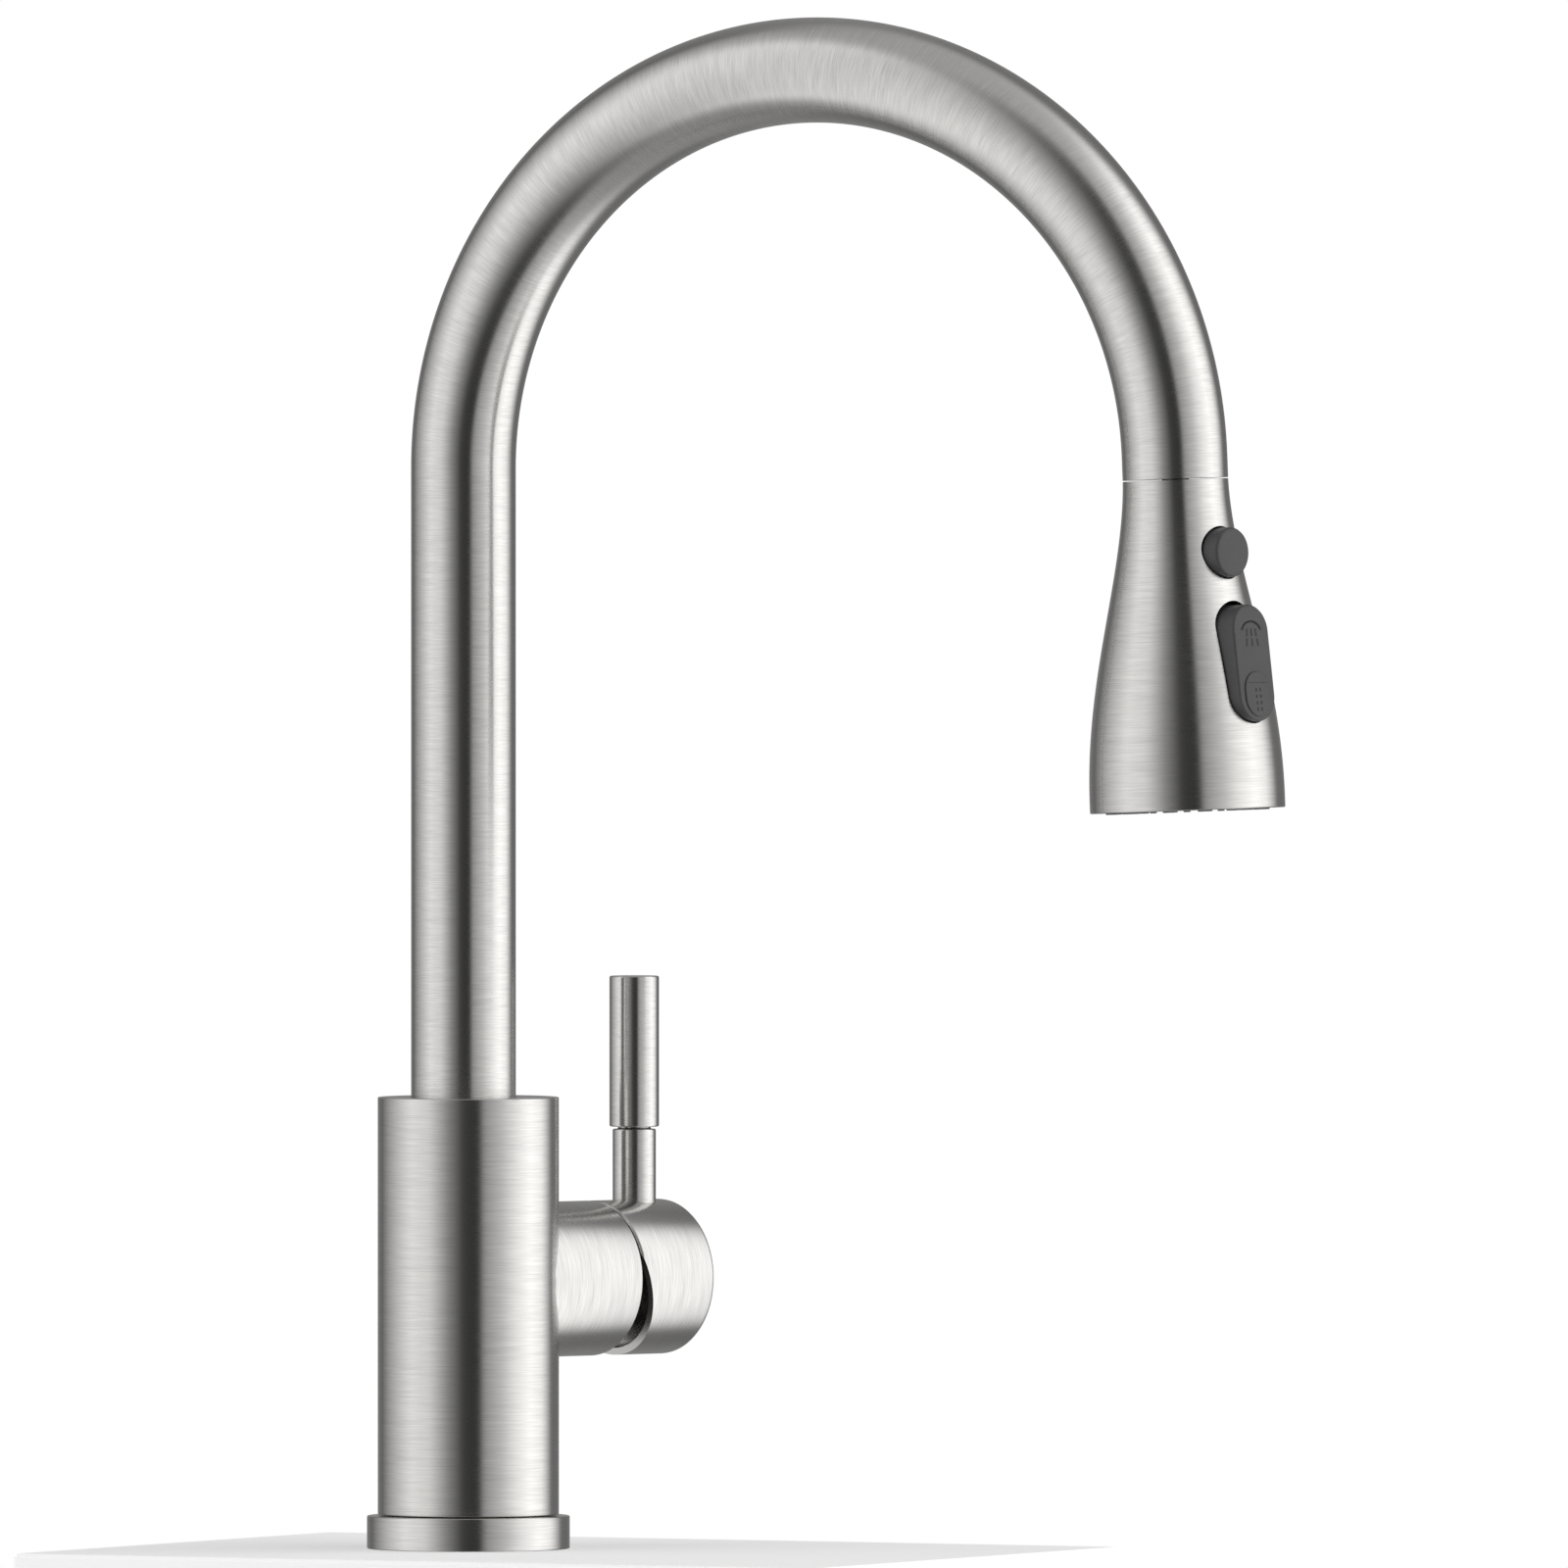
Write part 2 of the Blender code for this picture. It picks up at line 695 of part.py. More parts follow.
def make_spout(places):
    swept_tube(
        "spout_tube", spout_path(TUBE_FOOT_Z, 0.0, 22), TUBE_R, TUBE_R - TUBE_WALL, 20,
        places["spout_world"], brushed_steel(),
    )
    end = places["spout_end"]
    turned(
        "dock_insert",
        [(9.2, 0.8), (10.0, 0.0), (12.3, 0.0), (12.3, 8.5), (9.2, 8.5)],
        end, black_plastic(),
    )
    turned("dock_magnet", ring_outline(9.4, 11.7, 8.9, 12.9), end, magnet())


def make_hose(places):
    foot_z = -60.0
    swept_tube(
        "spray_hose", spout_path(foot_z, 9.5, 18), HOSE_R, HOSE_BORE, 8,
        places["spout_world"], braided_hose(),
    )
    turned(
        "hose_connector",
        [
            (2.2, foot_z - 0.3), (6.4, foot_z - 0.3), (6.4, foot_z - 8.0), (4.4, foot_z - 8.6),
            (4.4, foot_z - 12.0), (5.2, foot_z - 12.6), (5.2, foot_z - 15.0), (4.4, foot_z - 15.6),
            (4.4, foot_z - 23.4), (3.8, foot_z - 24.0), (2.2, foot_z - 24.0),
        ],
        places["spout"], brass(), SMALL,
    )
    hose_end = places["hose_end"]
    turned("hose_pull_section", ring_outline(HOSE_BORE, HOSE_R, 4.7, 9.2), hose_end, braided_hose(), SMALL)
    turned(
        "hose_ferrule",
        [
            (2.2, 4.4), (7.0, 4.4), (7.0, 0.8), (3.6, 0.8),
            (3.6, -3.6), (5.0, -4.0), (5.0, -6.4), (2.2, -6.4),
        ],
        hose_end, plain_steel(),
    )
    turned("docking_ring", ring_outline(7.3, 8.8, 1.0, 4.2), hose_end, plain_steel())


# ---------------------------------------------------------------- spray head

def make_head_shell(places):
    head = places["head"]
    outer = head_curve(TOUCH, HEAD_LENGTH, 9, 0.0)
    inner = head_curve(2.4, HEAD_LENGTH, 9, HEAD_WALL)
    shell = turned(
        "head_shell",
        outer + inner[::-1] + [(9.5, -2.4), (9.5, -TOUCH)],
        head, brushed_steel(), 28,
    )
    slot = stadium(SLOT_HALF_W, SLOT_UP, SLOT_DOWN)
    at_button = aimed(moved(head, 0.0, 0.0, -BUTTON_DOWN), "X")
    cut(
        shell,
        drill("button_window", BUTTON_R + 0.5, 10.5, 30.0, at_button),
        slab("rocker_window", slot, 11.0, 40.0, moved(head, 0.0, 0.0, -ROCKER_DOWN), None),
    )


def make_head_core(places):
    """The waterway: an inlet bore at the top, and the spray chamber at the bottom."""
    head = places["head"]
    core = turned(
        "head_core",
        [(6.6, -0.8), (9.0, -0.8), (9.0, -66.9), (13.0, -68.4), (23.2, -69.2), (23.2, -81.0), (21.6, -81.0),
         (21.6, -70.4), (3.2, -69.6), (3.2, -18.0), (4.6, -18.0), (4.6, -12.5), (6.6, -12.5)],
        head, white_plastic(),
    )
    cut(
        core,
        drill("pause_bore", 1.9, 1.0, 12.0, aimed(moved(head, 0.0, 0.0, -BUTTON_DOWN), "X"), 12),
        box("spool_window", (1.0, -1.6, -55.0), (12.0, 1.6, -44.5), head, None),
    )
    turned(
        "swivel_nut",
        [(3.9, -1.0), (6.2, -1.0), (6.2, -9.6), (5.4, -9.6), (5.4, -3.7), (3.9, -3.3)],
        head, brass(), ROUND,
    )
    turned("inlet_washer", ring_outline(2.6, 6.2, -11.3, -9.9), head, black_rubber())
    turned("filter_screen", rod_outline(6.2, -12.2, -11.6), head, plain_steel())
    turned("check_valve", ring_outline(1.5, 4.3, -17.6, -12.7), head, white_plastic(), SMALL)
    turned("stream_tube", ring_outline(7.2, 8.6, -81.0, -70.5), head, white_plastic())


def make_control_panel(places):
    """The black carrier behind the shell's windows, which holds the button and the rocker."""
    head = places["head"]
    outer = head_curve(9.0, 66.6, 8, HEAD_WALL + 0.4)
    panel = turned("control_panel", outer + [(0.0, -66.6), (0.0, -9.0)], head, black_plastic())
    keep = box("panel_limits", (9.4, -10.5, -70.0), (40.0, 10.5, 0.0), head, None)
    add_boolean(panel, keep, "INTERSECT")
    at_button = aimed(moved(head, 0.0, 0.0, -BUTTON_DOWN), "X")
    at_pivot = aimed(moved(head, ROCKER_PIVOT, 0.0, -ROCKER_DOWN), "Y")
    slot = stadium(SLOT_HALF_W, SLOT_UP, SLOT_DOWN)
    cut(
        panel,
        slab("rocker_pocket", slot, 13.5, 40.0, moved(head, 0.0, 0.0, -ROCKER_DOWN), None),
        box("fork_slot", (6.0, -1.6, -54.0), (16.0, 1.6, -45.5), head, None),
        drill("rocker_pin_hole", PIN_HOLE_R, -14.0, 14.0, at_pivot, SMALL),
        drill("button_pocket", BUTTON_R + 0.4, 10.6, 30.0, at_button),
        drill("plunger_hole", 1.9, 6.0, 14.0, at_button, SMALL),
    )
    turned(
        "rocker_pin", rod_outline(1.0, -9.8, 9.8),
        aimed(moved(head, ROCKER_PIVOT, 0.0, -ROCKER_DOWN), "Y"), plain_steel(), 12,
    )


def make_pause_button(places):
    """The round button, with the plunger that stops the water, and the spring that returns it."""
    button = places["button"]
    cap_foot = 14.0
    turned(
        "pause_button",
        [(0.0, 3.9), (1.4, 3.9), (1.4, 16.6), (4.8, 16.6), (4.8, cap_foot), (BUTTON_R, cap_foot),
         (BUTTON_R, BUTTON_FACE - 0.9), (BUTTON_R - 0.9, BUTTON_FACE), (0.0, BUTTON_FACE)],
        button, charcoal_plastic(),
    )
    coil("button_spring", 3.2, 0.3, 11.2, 16.1, 3.5, button)


def coil(name, radius, wire, low, high, turns, place):
    """A compression spring about the place's Z axis."""
    curve = bpy.data.curves.new(name, "CURVE")
    curve.dimensions = "3D"
    curve.bevel_depth = wire * MM
    curve.bevel_resolution = 1
    curve.use_fill_caps = True
    steps = int(turns * 10)
    spline = curve.splines.new("POLY")
    spline.points.add(steps)
    for i in range(steps + 1):
        angle = math.tau * turns * i / steps
        height = low + (high - low) * i / steps
        across = radius * MM * math.cos(angle)
        along = radius * MM * math.sin(angle)
        spline.points[i].co = (across, along, height * MM, 1.0)
    curve.materials.append(plain_steel())
    obj = bpy.data.objects.new(name, curve)
    bpy.context.scene.collection.objects.link(obj)
    attach(obj, place.frame, place.pivot)


def make_mode_rocker(places):
    """The rocker that picks stream or spray, with the fork behind it that moves the spool."""
    rocker_place = places["rocker"]
    outline = stadium(ROCKER_HALF_W, ROCKER_HALF_L, ROCKER_HALF_L)
    rocker = slab(
        "mode_rocker", outline, ROCKER_FACE - ROCKER_THICK, ROCKER_FACE,
        rocker_place, charcoal_plastic(), ROCKER_SLOPE,
    )
    across = aimed(rocker_place, "Y")
    join(
        rocker,
        box("rocker_rib", (-0.5, -5.0, -2.2), (4.0, 5.0, 2.2), rocker_place, None),
        drill("rocker_boss", 2.5, -5.2, 5.2, across),
        box("rocker_fork", (-14.2, -1.1, -0.9), (0.5, 1.1, 0.9), rocker_place, None),
    )
    cut(rocker, drill("rocker_bore", PIN_HOLE_R, -8.0, 8.0, across, 12))


def make_diverter(places):
    turned(
        "diverter_spool",
        [
            (0.0, -43.6), (2.7, -43.6), (2.7, -48.0), (1.4, -48.0),
            (1.4, -51.0), (2.7, -51.0), (2.7, -56.0), (0.0, -56.0),
        ],
        places["spool"], brass(), SMALL,
    )


def nozzle_shapes(name, outline, place, sides):
    """One turned shape at each nozzle of the spray face."""
    bm = bmesh.new()
    for radius, count in NOZZLE_RINGS:
        for i in range(count):
            angle = math.tau * (i + 0.5) / count
            before = len(bm.verts)
            turned_rings(bm, outline, sides)
            bm.verts.ensure_lookup_table()
            offset = Vector((radius * MM * math.cos(angle), radius * MM * math.sin(angle), 0.0))
            bmesh.ops.translate(bm, verts=bm.verts[before:], vec=offset)
    return finish_mesh(name, bm, place, None)


def make_spray_face(places):
    head = places["head"]
    mat = turned("nozzle_mat", ring_outline(9.2, 23.0, -83.1, -81.3), head, grey_rubber())
    nub = [(0.0, -82.2), (0.95, -82.2), (0.7, -88.4), (0.0, -88.4)]
    join(mat, nozzle_shapes("nozzle_nubs", nub, head, 5))
    face_outline = chamfered_ring_outline(7.4, 24.1, -86.6, -83.5, 0.4)
    face = turned("spray_face", face_outline, head, black_plastic())
    cut(face, nozzle_shapes("nozzle_holes", rod_outline(1.3, -88.0, -82.0), head, 5))
    turned(
        "aerator",
        [
            (5.6, -74.0), (6.8, -74.0), (6.8, -86.8), (5.6, -86.8),
            (5.6, -82.5), (0.0, -82.5), (0.0, -80.5), (5.6, -80.5),
        ],
        head, black_plastic(),
    )


# ---------------------------------------------------------------- the whole faucet

def main():
    clear_scene()
    places = make_places()
    make_base(places)
    make_body_shell(places)
    make_swivel(places)
    make_deck_fixings(places)
    make_valve_block(places)
    make_cartridge(places)
    make_mixer(places)
    make_stem(places)
    make_hub(places)
    make_lever(places)
    make_spout(places)
    make_hose(places)
    make_head_shell(places)
    make_head_core(places)
    make_control_panel(places)
    make_pause_button(places)
    make_mode_rocker(places)
    make_diverter(places)
    make_spray_face(places)


main()
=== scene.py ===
"""Looks for the pull-down kitchen faucet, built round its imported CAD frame.

Lengths are millimetres and the mesh builders turn them into metres. Turned and swept pieces carry a UV map
for the brushed metal: its U is the turn round the piece and its V is the length along it in metres.
"""

import json
import math

import bmesh
import bpy
from mathutils import Matrix, Vector

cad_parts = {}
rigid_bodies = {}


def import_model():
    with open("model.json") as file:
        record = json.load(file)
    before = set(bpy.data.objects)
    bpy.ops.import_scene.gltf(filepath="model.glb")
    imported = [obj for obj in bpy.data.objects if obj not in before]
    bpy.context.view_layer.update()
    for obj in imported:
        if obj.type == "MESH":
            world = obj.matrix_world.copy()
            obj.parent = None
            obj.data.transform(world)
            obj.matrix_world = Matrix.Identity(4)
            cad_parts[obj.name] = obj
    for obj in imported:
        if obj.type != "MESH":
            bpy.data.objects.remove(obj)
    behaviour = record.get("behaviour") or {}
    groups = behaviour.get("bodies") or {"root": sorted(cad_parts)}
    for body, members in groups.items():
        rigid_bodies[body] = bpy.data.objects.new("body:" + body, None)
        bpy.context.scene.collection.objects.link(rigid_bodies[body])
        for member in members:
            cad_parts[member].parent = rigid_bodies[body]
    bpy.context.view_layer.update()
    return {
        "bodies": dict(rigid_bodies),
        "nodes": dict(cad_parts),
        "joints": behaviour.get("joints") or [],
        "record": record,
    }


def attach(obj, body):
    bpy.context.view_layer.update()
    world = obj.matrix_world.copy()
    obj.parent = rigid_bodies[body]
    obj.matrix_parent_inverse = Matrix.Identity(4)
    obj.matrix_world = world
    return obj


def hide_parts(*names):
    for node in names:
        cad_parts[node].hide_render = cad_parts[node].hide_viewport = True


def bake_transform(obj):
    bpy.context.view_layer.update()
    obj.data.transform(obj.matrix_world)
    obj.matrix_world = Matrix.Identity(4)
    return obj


MM = 0.001
SIDES = 160
FEW_SIDES = 48
CORNER_STEPS = 4
SHARP_ANGLE = math.radians(32)
UV_NAME = "UVMap"

# Shape, as in the CAD
SWIVEL_X = -1.45
TUBE_R = 14.0
TUBE_WALL = 1.2
TUBE_FOOT_Z = 94.0
ARC_R = 106.4
ARC_CENTRE_Z = 288.6
ARC_SHORT_DEG = 2.4
DOCK_STRAIGHT = 6.2
HOSE_R = 5.5
HOSE_BORE = 3.6
BODY_R = 24.2
BODY_FOOT_Z = 9.1
BODY_TOP_Z = 120.6
BODY_BORE = 22.7
SPOUT_BORE = 14.3
FLANGE_R = 27.1
FLANGE_H = 8.8
SHANK_R = 16.3
SHANK_BORE = 14.2
SHANK_FOOT_Z = -55.0
WORKTOP = 20.0
HANDLE_Z = 71.3
HANDLE_DEG = 70.8
BARREL_R = 20.75
BARREL_BORE = 18.6
BARREL_END = 44.6
HUB_NEAR = 45.4
HUB_FAR = 71.2
HUB_BORE = 18.9
HUB_FLOOR = 56.0
WEDGE_TOP = 7.0
WEDGE_SLOPE = 0.29
WEDGE_LOWEST = -26.0
WEDGE_HALF_W = 30.0
LEVER_AT = 60.9
LEVER_R = 5.8
GRIP_R = 6.65
GRIP_FOOT_Z = 111.6
GRIP_TOP_Z = 152.0
HEAD_MOUTH_R = 25.9
HEAD_RAMP = 85.0
HEAD_RAMP_POWER = 0.87
HEAD_LENGTH = 87.9
HEAD_WALL = 1.3
HEAD_FACING_DEG = -14.7
BUTTON_DOWN = 20.0
BUTTON_R = 6.6
BUTTON_FACE = 19.5
SPRING_R = 3.2
SPRING_LOW = 11.2
SPRING_HIGH = 16.1
SPRING_TURNS = 3.5
SPRING_STEPS = 140
WIRE_R = 0.26
WIRE_SIDES = 12
ROCKER_DOWN = 49.5
ROCKER_HALF_W = 7.0
ROCKER_HALF_L = 15.5
ROCKER_PIVOT = 17.0
ROCKER_FACE = 8.5
ROCKER_THICK = 6.5
ROCKER_SLOPE = 0.0886
RAISED = 0.4
SLOT_HALF_W = 7.5
SLOT_UP = 16.7
SLOT_DOWN = 16.0
NOZZLE_RINGS = ((12.4, 8), (16.6, 11), (20.8, 14))

# Camera and studio, in metres and degrees
CAMERA_AZIMUTH = 27.3
CAMERA_ELEVATION = 1.1
CAMERA_DISTANCE = 12.0
VIEW_WIDTH = 0.4187
VIEW_CENTRE = (0.0749, 0.0387, 0.2042)
SENSOR = 36.0
FLOOR_Z = -0.30

# Light round the object: degrees from the camera towards its right, and brightness
STUDIO_RING = (
    (-180, 0.30), (-142, 0.16), (-112, 0.62), (-78, 1.16), (-52, 1.00), (-26, 0.34), (-7, 0.06), (14, 0.03),
    (21, 0.42), (45, 0.78), (62, 1.22), (88, 1.68), (108, 1.40), (132, 0.20), (155, 0.18), (180, 0.30),
)
STUDIO_TOP = 0.50
STUDIO_BOTTOM = 0.36
BLEND_LOW = 0.72    # height of a direction where the ring starts to give way to the top or bottom light
BLEND_HIGH = 0.95


# ---------------------------------------------------------------- frames

def shift(x, y, z):
    return Matrix.Translation((x * MM, y * MM, z * MM))


def frame_of(x_axis, z_axis, origin):
    """A frame from its X and Z directions and its origin in millimetres."""
    z = Vector(z_axis).normalized()
    x = Vector(x_axis)
    x = (x - x.dot(z) * z).normalized()
    y = z.cross(x)
    return shift(*origin) @ Matrix((x, y, z)).transposed().to_4x4()


def head_direction():
    lean = math.radians(ARC_SHORT_DEG)
    return Vector((math.sin(lean), 0.0, -math.cos(lean)))


def arc_point(turn):
    return Vector((
        SWIVEL_X + ARC_R - ARC_R * math.cos(turn),
        0.0,
        ARC_CENTRE_Z + ARC_R * math.sin(turn),
    ))


def seam_point():
    lean = math.radians(ARC_SHORT_DEG)
    return arc_point(math.pi - lean) + DOCK_STRAIGHT * head_direction()


def handle_direction():
    angle = math.radians(HANDLE_DEG)
    return Vector((math.cos(angle), math.sin(angle), 0.0))


def make_frames():
    facing = math.radians(HEAD_FACING_DEG)
    toward = (math.cos(facing), math.sin(facing), 0.0)
    head = frame_of(toward, -head_direction(), seam_point())
    lever_turn = Matrix.Rotation(math.radians(HANDLE_DEG), 4, "Z")
    return {
        "upright": Matrix.Identity(4),
        "swivel": shift(SWIVEL_X, 0, 0),
        "side": frame_of((0, 0, 1), handle_direction(), (0, 0, HANDLE_Z)),
        "lever": shift(*(handle_direction() * LEVER_AT)) @ lever_turn,
        "head": head,
        "button": head @ shift(0, 0, -BUTTON_DOWN) @ Matrix.Rotation(math.radians(90), 4, "Y"),
        "rocker": head @ shift(ROCKER_PIVOT, 0, -ROCKER_DOWN),
    }


# ---------------------------------------------------------------- mesh builders

def new_shape():
    bm = bmesh.new()
    return bm, bm.loops.layers.uv.new(UV_NAME)


def add_face(bm, uv, corners):
    """A face from (vertex, u, v) corners, of which two may be the same point on the axis."""
    kept = []
    for corner in corners:
        if all(corner[0] is not other[0] for other in kept):
            kept.append(corner)
    if len(kept) < 3:
        return
    face = bm.faces.new([vertex for vertex, _, _ in kept])
    for loop, (_, u, v) in zip(face.loops, kept):
        loop[uv].uv = (u, v)


def add_rings(bm, uv, rings, lengths, closed):
    """Skins the rings of points. A ring of one point is a point on the axis."""
    sides = max(len(ring) for ring in rings)
    last = len(rings) if closed else len(rings) - 1
    for a in range(last):
        near = rings[a]
        far = rings[(a + 1) % len(rings)]
        for i in range(sides):
            u = i / sides
            next_u = (i + 1) / sides
            add_face(bm, uv, [
                (near[i % len(near)], u, lengths[a]),
                (near[(i + 1) % len(near)], next_u, lengths[a]),
                (far[(i + 1) % len(far)], next_u, lengths[a + 1]),
                (far[i % len(far)], u, lengths[a + 1]),
            ])


def rounded(points, radius):
    """The outline with its corners rounded, by up to half of the shorter side at each."""
    out = []
    count = len(points)
    for i in range(count):
        here = Vector(points[i])
        before = Vector(points[i - 1])
        after = Vector(points[(i + 1) % count])
        on_axis = here.x < 1e-6
        room = min((before - here).length, (after - here).length) / 2
        reach = min(radius, room)
        if on_axis or reach < 0.02:
            out.append(tuple(here))
            continue
        start = here + (before - here).normalized() * reach
        end = here + (after - here).normalized() * reach
        for step in range(CORNER_STEPS + 1):
            t = step / CORNER_STEPS
            point = start * (1 - t) ** 2 + here * 2 * t * (1 - t) + end * t * t
            out.append(tuple(point))
    return out


def add_lathe(bm, uv, outline, frame, sides=SIDES):
    """Turns an outline of (radius, height) points about the frame's Z axis."""
    rings = []
    lengths = [0.0]
    for i, (radius, height) in enumerate(outline):
        if radius < 1e-6:
            rings.append([bm.verts.new(frame @ Vector((0.0, 0.0, height * MM)))])
        else:
            ring = []
            for k in range(sides):
                angle = math.tau * k / sides
                point = Vector((radius * math.cos(angle), radius * math.sin(angle), height)) * MM
                ring.append(bm.verts.new(frame @ point))
            rings.append(ring)
        after = Vector(outline[(i + 1) % len(outline)])
        lengths.append(lengths[-1] + (after - Vector((radius, height))).length * MM)
    add_rings(bm, uv, rings, lengths, outline[0][0] > 1e-6)


def add_sweep(bm, uv, path, outer, bore, sides=SIDES):
    """A tube along (point, direction) pairs in the X-Z plane, closed by flat rims at both ends."""
    across = Vector((0.0, 1.0, 0.0))
    lengths = [0.0]
    for (a, _), (b, _) in zip(path, path[1:]):
        lengths.append(lengths[-1] + (b - a).length * MM)
    skins = []
    for radius in (outer, bore):
        rings = []
        for point, direction in path:
            inward = across.cross(direction)
            ring = []
            for k in range(sides):
                angle = math.tau * k / sides
                offset = radius * (math.cos(angle) * inward + math.sin(angle) * across)
                ring.append(bm.verts.new((point + offset) * MM))
            rings.append(ring)
        add_rings(bm, uv, rings, lengths, False)
        skins.append(rings)
    rim = [0.0, (outer - bore) * MM]
    add_rings(bm, uv, [skins[0][0], skins[1][0]], rim, False)
    add_rings(bm, uv, [skins[0][-1], skins[1][-1]], rim, False)


def add_box(bm, low, high, frame, bevel=0.0):
    """A box whose edges are softened by the bevel."""
    made = bmesh.ops.create_cube(bm, size=1.0)["verts"]
    size = Vector(high) - Vector(low)
    middle = (Vector(high) + Vector(low)) / 2
    for vertex in made:
        local = Vector([vertex.co[k] * size[k] + middle[k] for k in range(3)])
        vertex.co = frame @ (local * MM)
    if bevel > 0:
        edges = []
        for vertex in made:
            edges += [edge for edge in vertex.link_edges if edge not in edges]
        bmesh.ops.bevel(bm, geom=edges, offset=bevel * MM, segments=2, affect="EDGES")


def finish_piece(name, bm, made_of):
    """The finished object, whose own frame is the row frame."""
    bmesh.ops.recalc_face_normals(bm, faces=bm.faces)
    mesh = bpy.data.meshes.new(name)
    bm.to_mesh(mesh)
    bm.free()
    mesh.shade_smooth()
    mesh.set_sharp_from_angle(angle=SHARP_ANGLE)
    obj = bpy.data.objects.new(name, mesh)
    bpy.context.scene.collection.objects.link(obj)
    if made_of is not None:
        mesh.materials.append(made_of)
    return obj


def lathe(name, outline, frame, made_of, sides=SIDES):
    bm, uv = new_shape()
    add_lathe(bm, uv, outline, frame, sides)
    return finish_piece(name, bm, made_of)


def rod(radius, low, high):
    return [(0.0, low), (radius, low), (radius, high), (0.0, high)]


def ring(bore, outer, low, high):
    return [(bore, low), (outer, low), (outer, high), (bore, high)]


def boolean(obj, cutters, operation="DIFFERENCE"):
    """Cuts the object with each of the cutters, which are then removed."""
    for cutter in cutters:
        modifier = obj.modifiers.new("shape", "BOOLEAN")
        modifier.operation = operation
        modifier.solver = "EXACT"
        modifier.object = cutter
    graph = bpy.context.evaluated_depsgraph_get()
    mesh = bpy.data.meshes.new_from_object(obj.evaluated_get(graph))
    obj.modifiers.clear()
    obj.data = mesh
    for cutter in cutters:
        bpy.data.objects.remove(cutter, do_unlink=True)
    mesh.set_sharp_from_angle(angle=SHARP_ANGLE)


def show(obj, body, slot, *nodes):
    """The piece rides on the body and stands for the CAD nodes, which are hidden. The slot is not used."""
    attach(obj, body)
    if nodes:
        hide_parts(*nodes)


# ---------------------------------------------------------------- materials

def new_material(name, colour, roughness, metallic):
    made = bpy.data.materials.new(name)
    made.use_nodes = True
    shader = made.node_tree.nodes["Principled BSDF"]
    shader.inputs["Base Color"].default_value = (*colour, 1.0)
    shader.inputs["Roughness"].default_value = roughness
    shader.inputs["Metallic"].default_value = metallic
    return made


def math_node(tree, operation, a, b=0.0):
    node = tree.nodes.new("ShaderNodeMath")
    node.operation = operation
    for socket, value in zip(node.inputs, (a, b)):
        if isinstance(value, (int, float)):
            socket.default_value = value
        else:
            tree.links.new(value, socket)
    return node.outputs[0]


def combine(tree, x, y, z):
    node = tree.nodes.new("ShaderNodeCombineXYZ")
    for socket, value in zip(node.inputs, (x, y, z)):
        if isinstance(value, (int, float)):
            socket.default_value = value
        else:
            tree.links.new(value, socket)
    return node.outputs[0]


def noise(tree, vector, scale, detail=3.0):
    node = tree.nodes.new("ShaderNodeTexNoise")
    node.inputs["Scale"].default_value = scale
    node.inputs["Detail"].default_value = detail
    tree.links.new(vector, node.inputs["Vector"])
    return node.outputs["Fac"]


def ramp(tree, factor, stops):
    node = tree.nodes.new("ShaderNodeValToRGB")
    elements = node.color_ramp.elements
    while len(elements) < len(stops):
        elements.new(0.5)
    for element, (position, colour) in zip(elements, stops):
        element.position = position
        element.color = (*colour, 1.0)
    tree.links.new(factor, node.inputs["Fac"])
    return node.outputs["Color"]


def grey(value):
    return (value, value, value)


def object_coordinates(tree):
    return tree.nodes.new("ShaderNodeTexCoord").outputs["Object"]


def add_bump(tree, height, strength, distance):
    shader = tree.nodes["Principled BSDF"]
    node = tree.nodes.new("ShaderNodeBump")
    node.inputs["Strength"].default_value = strength
    node.inputs["Distance"].default_value = distance
    tree.links.new(height, node.inputs["Height"])
    tree.links.new(node.outputs["Normal"], shader.inputs["Normal"])


def turned_coordinates(tree, turns, lines_per_metre):
    """Coordinates that run slowly round the piece and fast along it, with no seam."""
    uv = tree.nodes.new("ShaderNodeUVMap")
    uv.uv_map = UV_NAME
    split = tree.nodes.new("ShaderNodeSeparateXYZ")
    tree.links.new(uv.outputs["UV"], split.inputs[0])
    angle = math_node(tree, "MULTIPLY", split.outputs["X"], math.tau)
    x = math_node(tree, "MULTIPLY", math_node(tree, "COSINE", angle), turns)
    y = math_node(tree, "MULTIPLY", math_node(tree, "SINE", angle), turns)
    z = math_node(tree, "MULTIPLY", split.outputs["Y"], lines_per_metre)
    return combine(tree, x, y, z)


def brushed_metal(name, dark, light, roughness_low, roughness_high):
    """Steel brushed round the piece: fine hairlines over slow bands, with stretched reflections."""
    made = new_material(name, light, 0.32, 1.0)
    tree = made.node_tree
    shader = tree.nodes["Principled BSDF"]
    fine = noise(tree, turned_coordinates(tree, 2.2, 3300.0), 1.0, 4.0)
    bands = noise(tree, turned_coordinates(tree, 1.2, 520.0), 1.0, 2.0)
    fine_part = math_node(tree, "MULTIPLY", fine, 0.75)
    band_part = math_node(tree, "MULTIPLY", bands, 0.25)
    mixed = math_node(tree, "ADD", fine_part, band_part)
    tree.links.new(ramp(tree, mixed, [(0.33, dark), (0.67, light)]), shader.inputs["Base Color"])
    roughness = ramp(tree, mixed, [(0.3, grey(roughness_high)), (0.7, grey(roughness_low))])
    tree.links.new(roughness, shader.inputs["Roughness"])
    shader.inputs["Anisotropic"].default_value = 0.8
    shader.inputs["Anisotropic Rotation"].default_value = 0.25
    tangent = tree.nodes.new("ShaderNodeTangent")
    tangent.direction_type = "UV_MAP"
    tangent.uv_map = UV_NAME
    tree.links.new(tangent.outputs["Tangent"], shader.inputs["Tangent"])
    add_bump(tree, fine, 0.12, 0.00006)
    return made


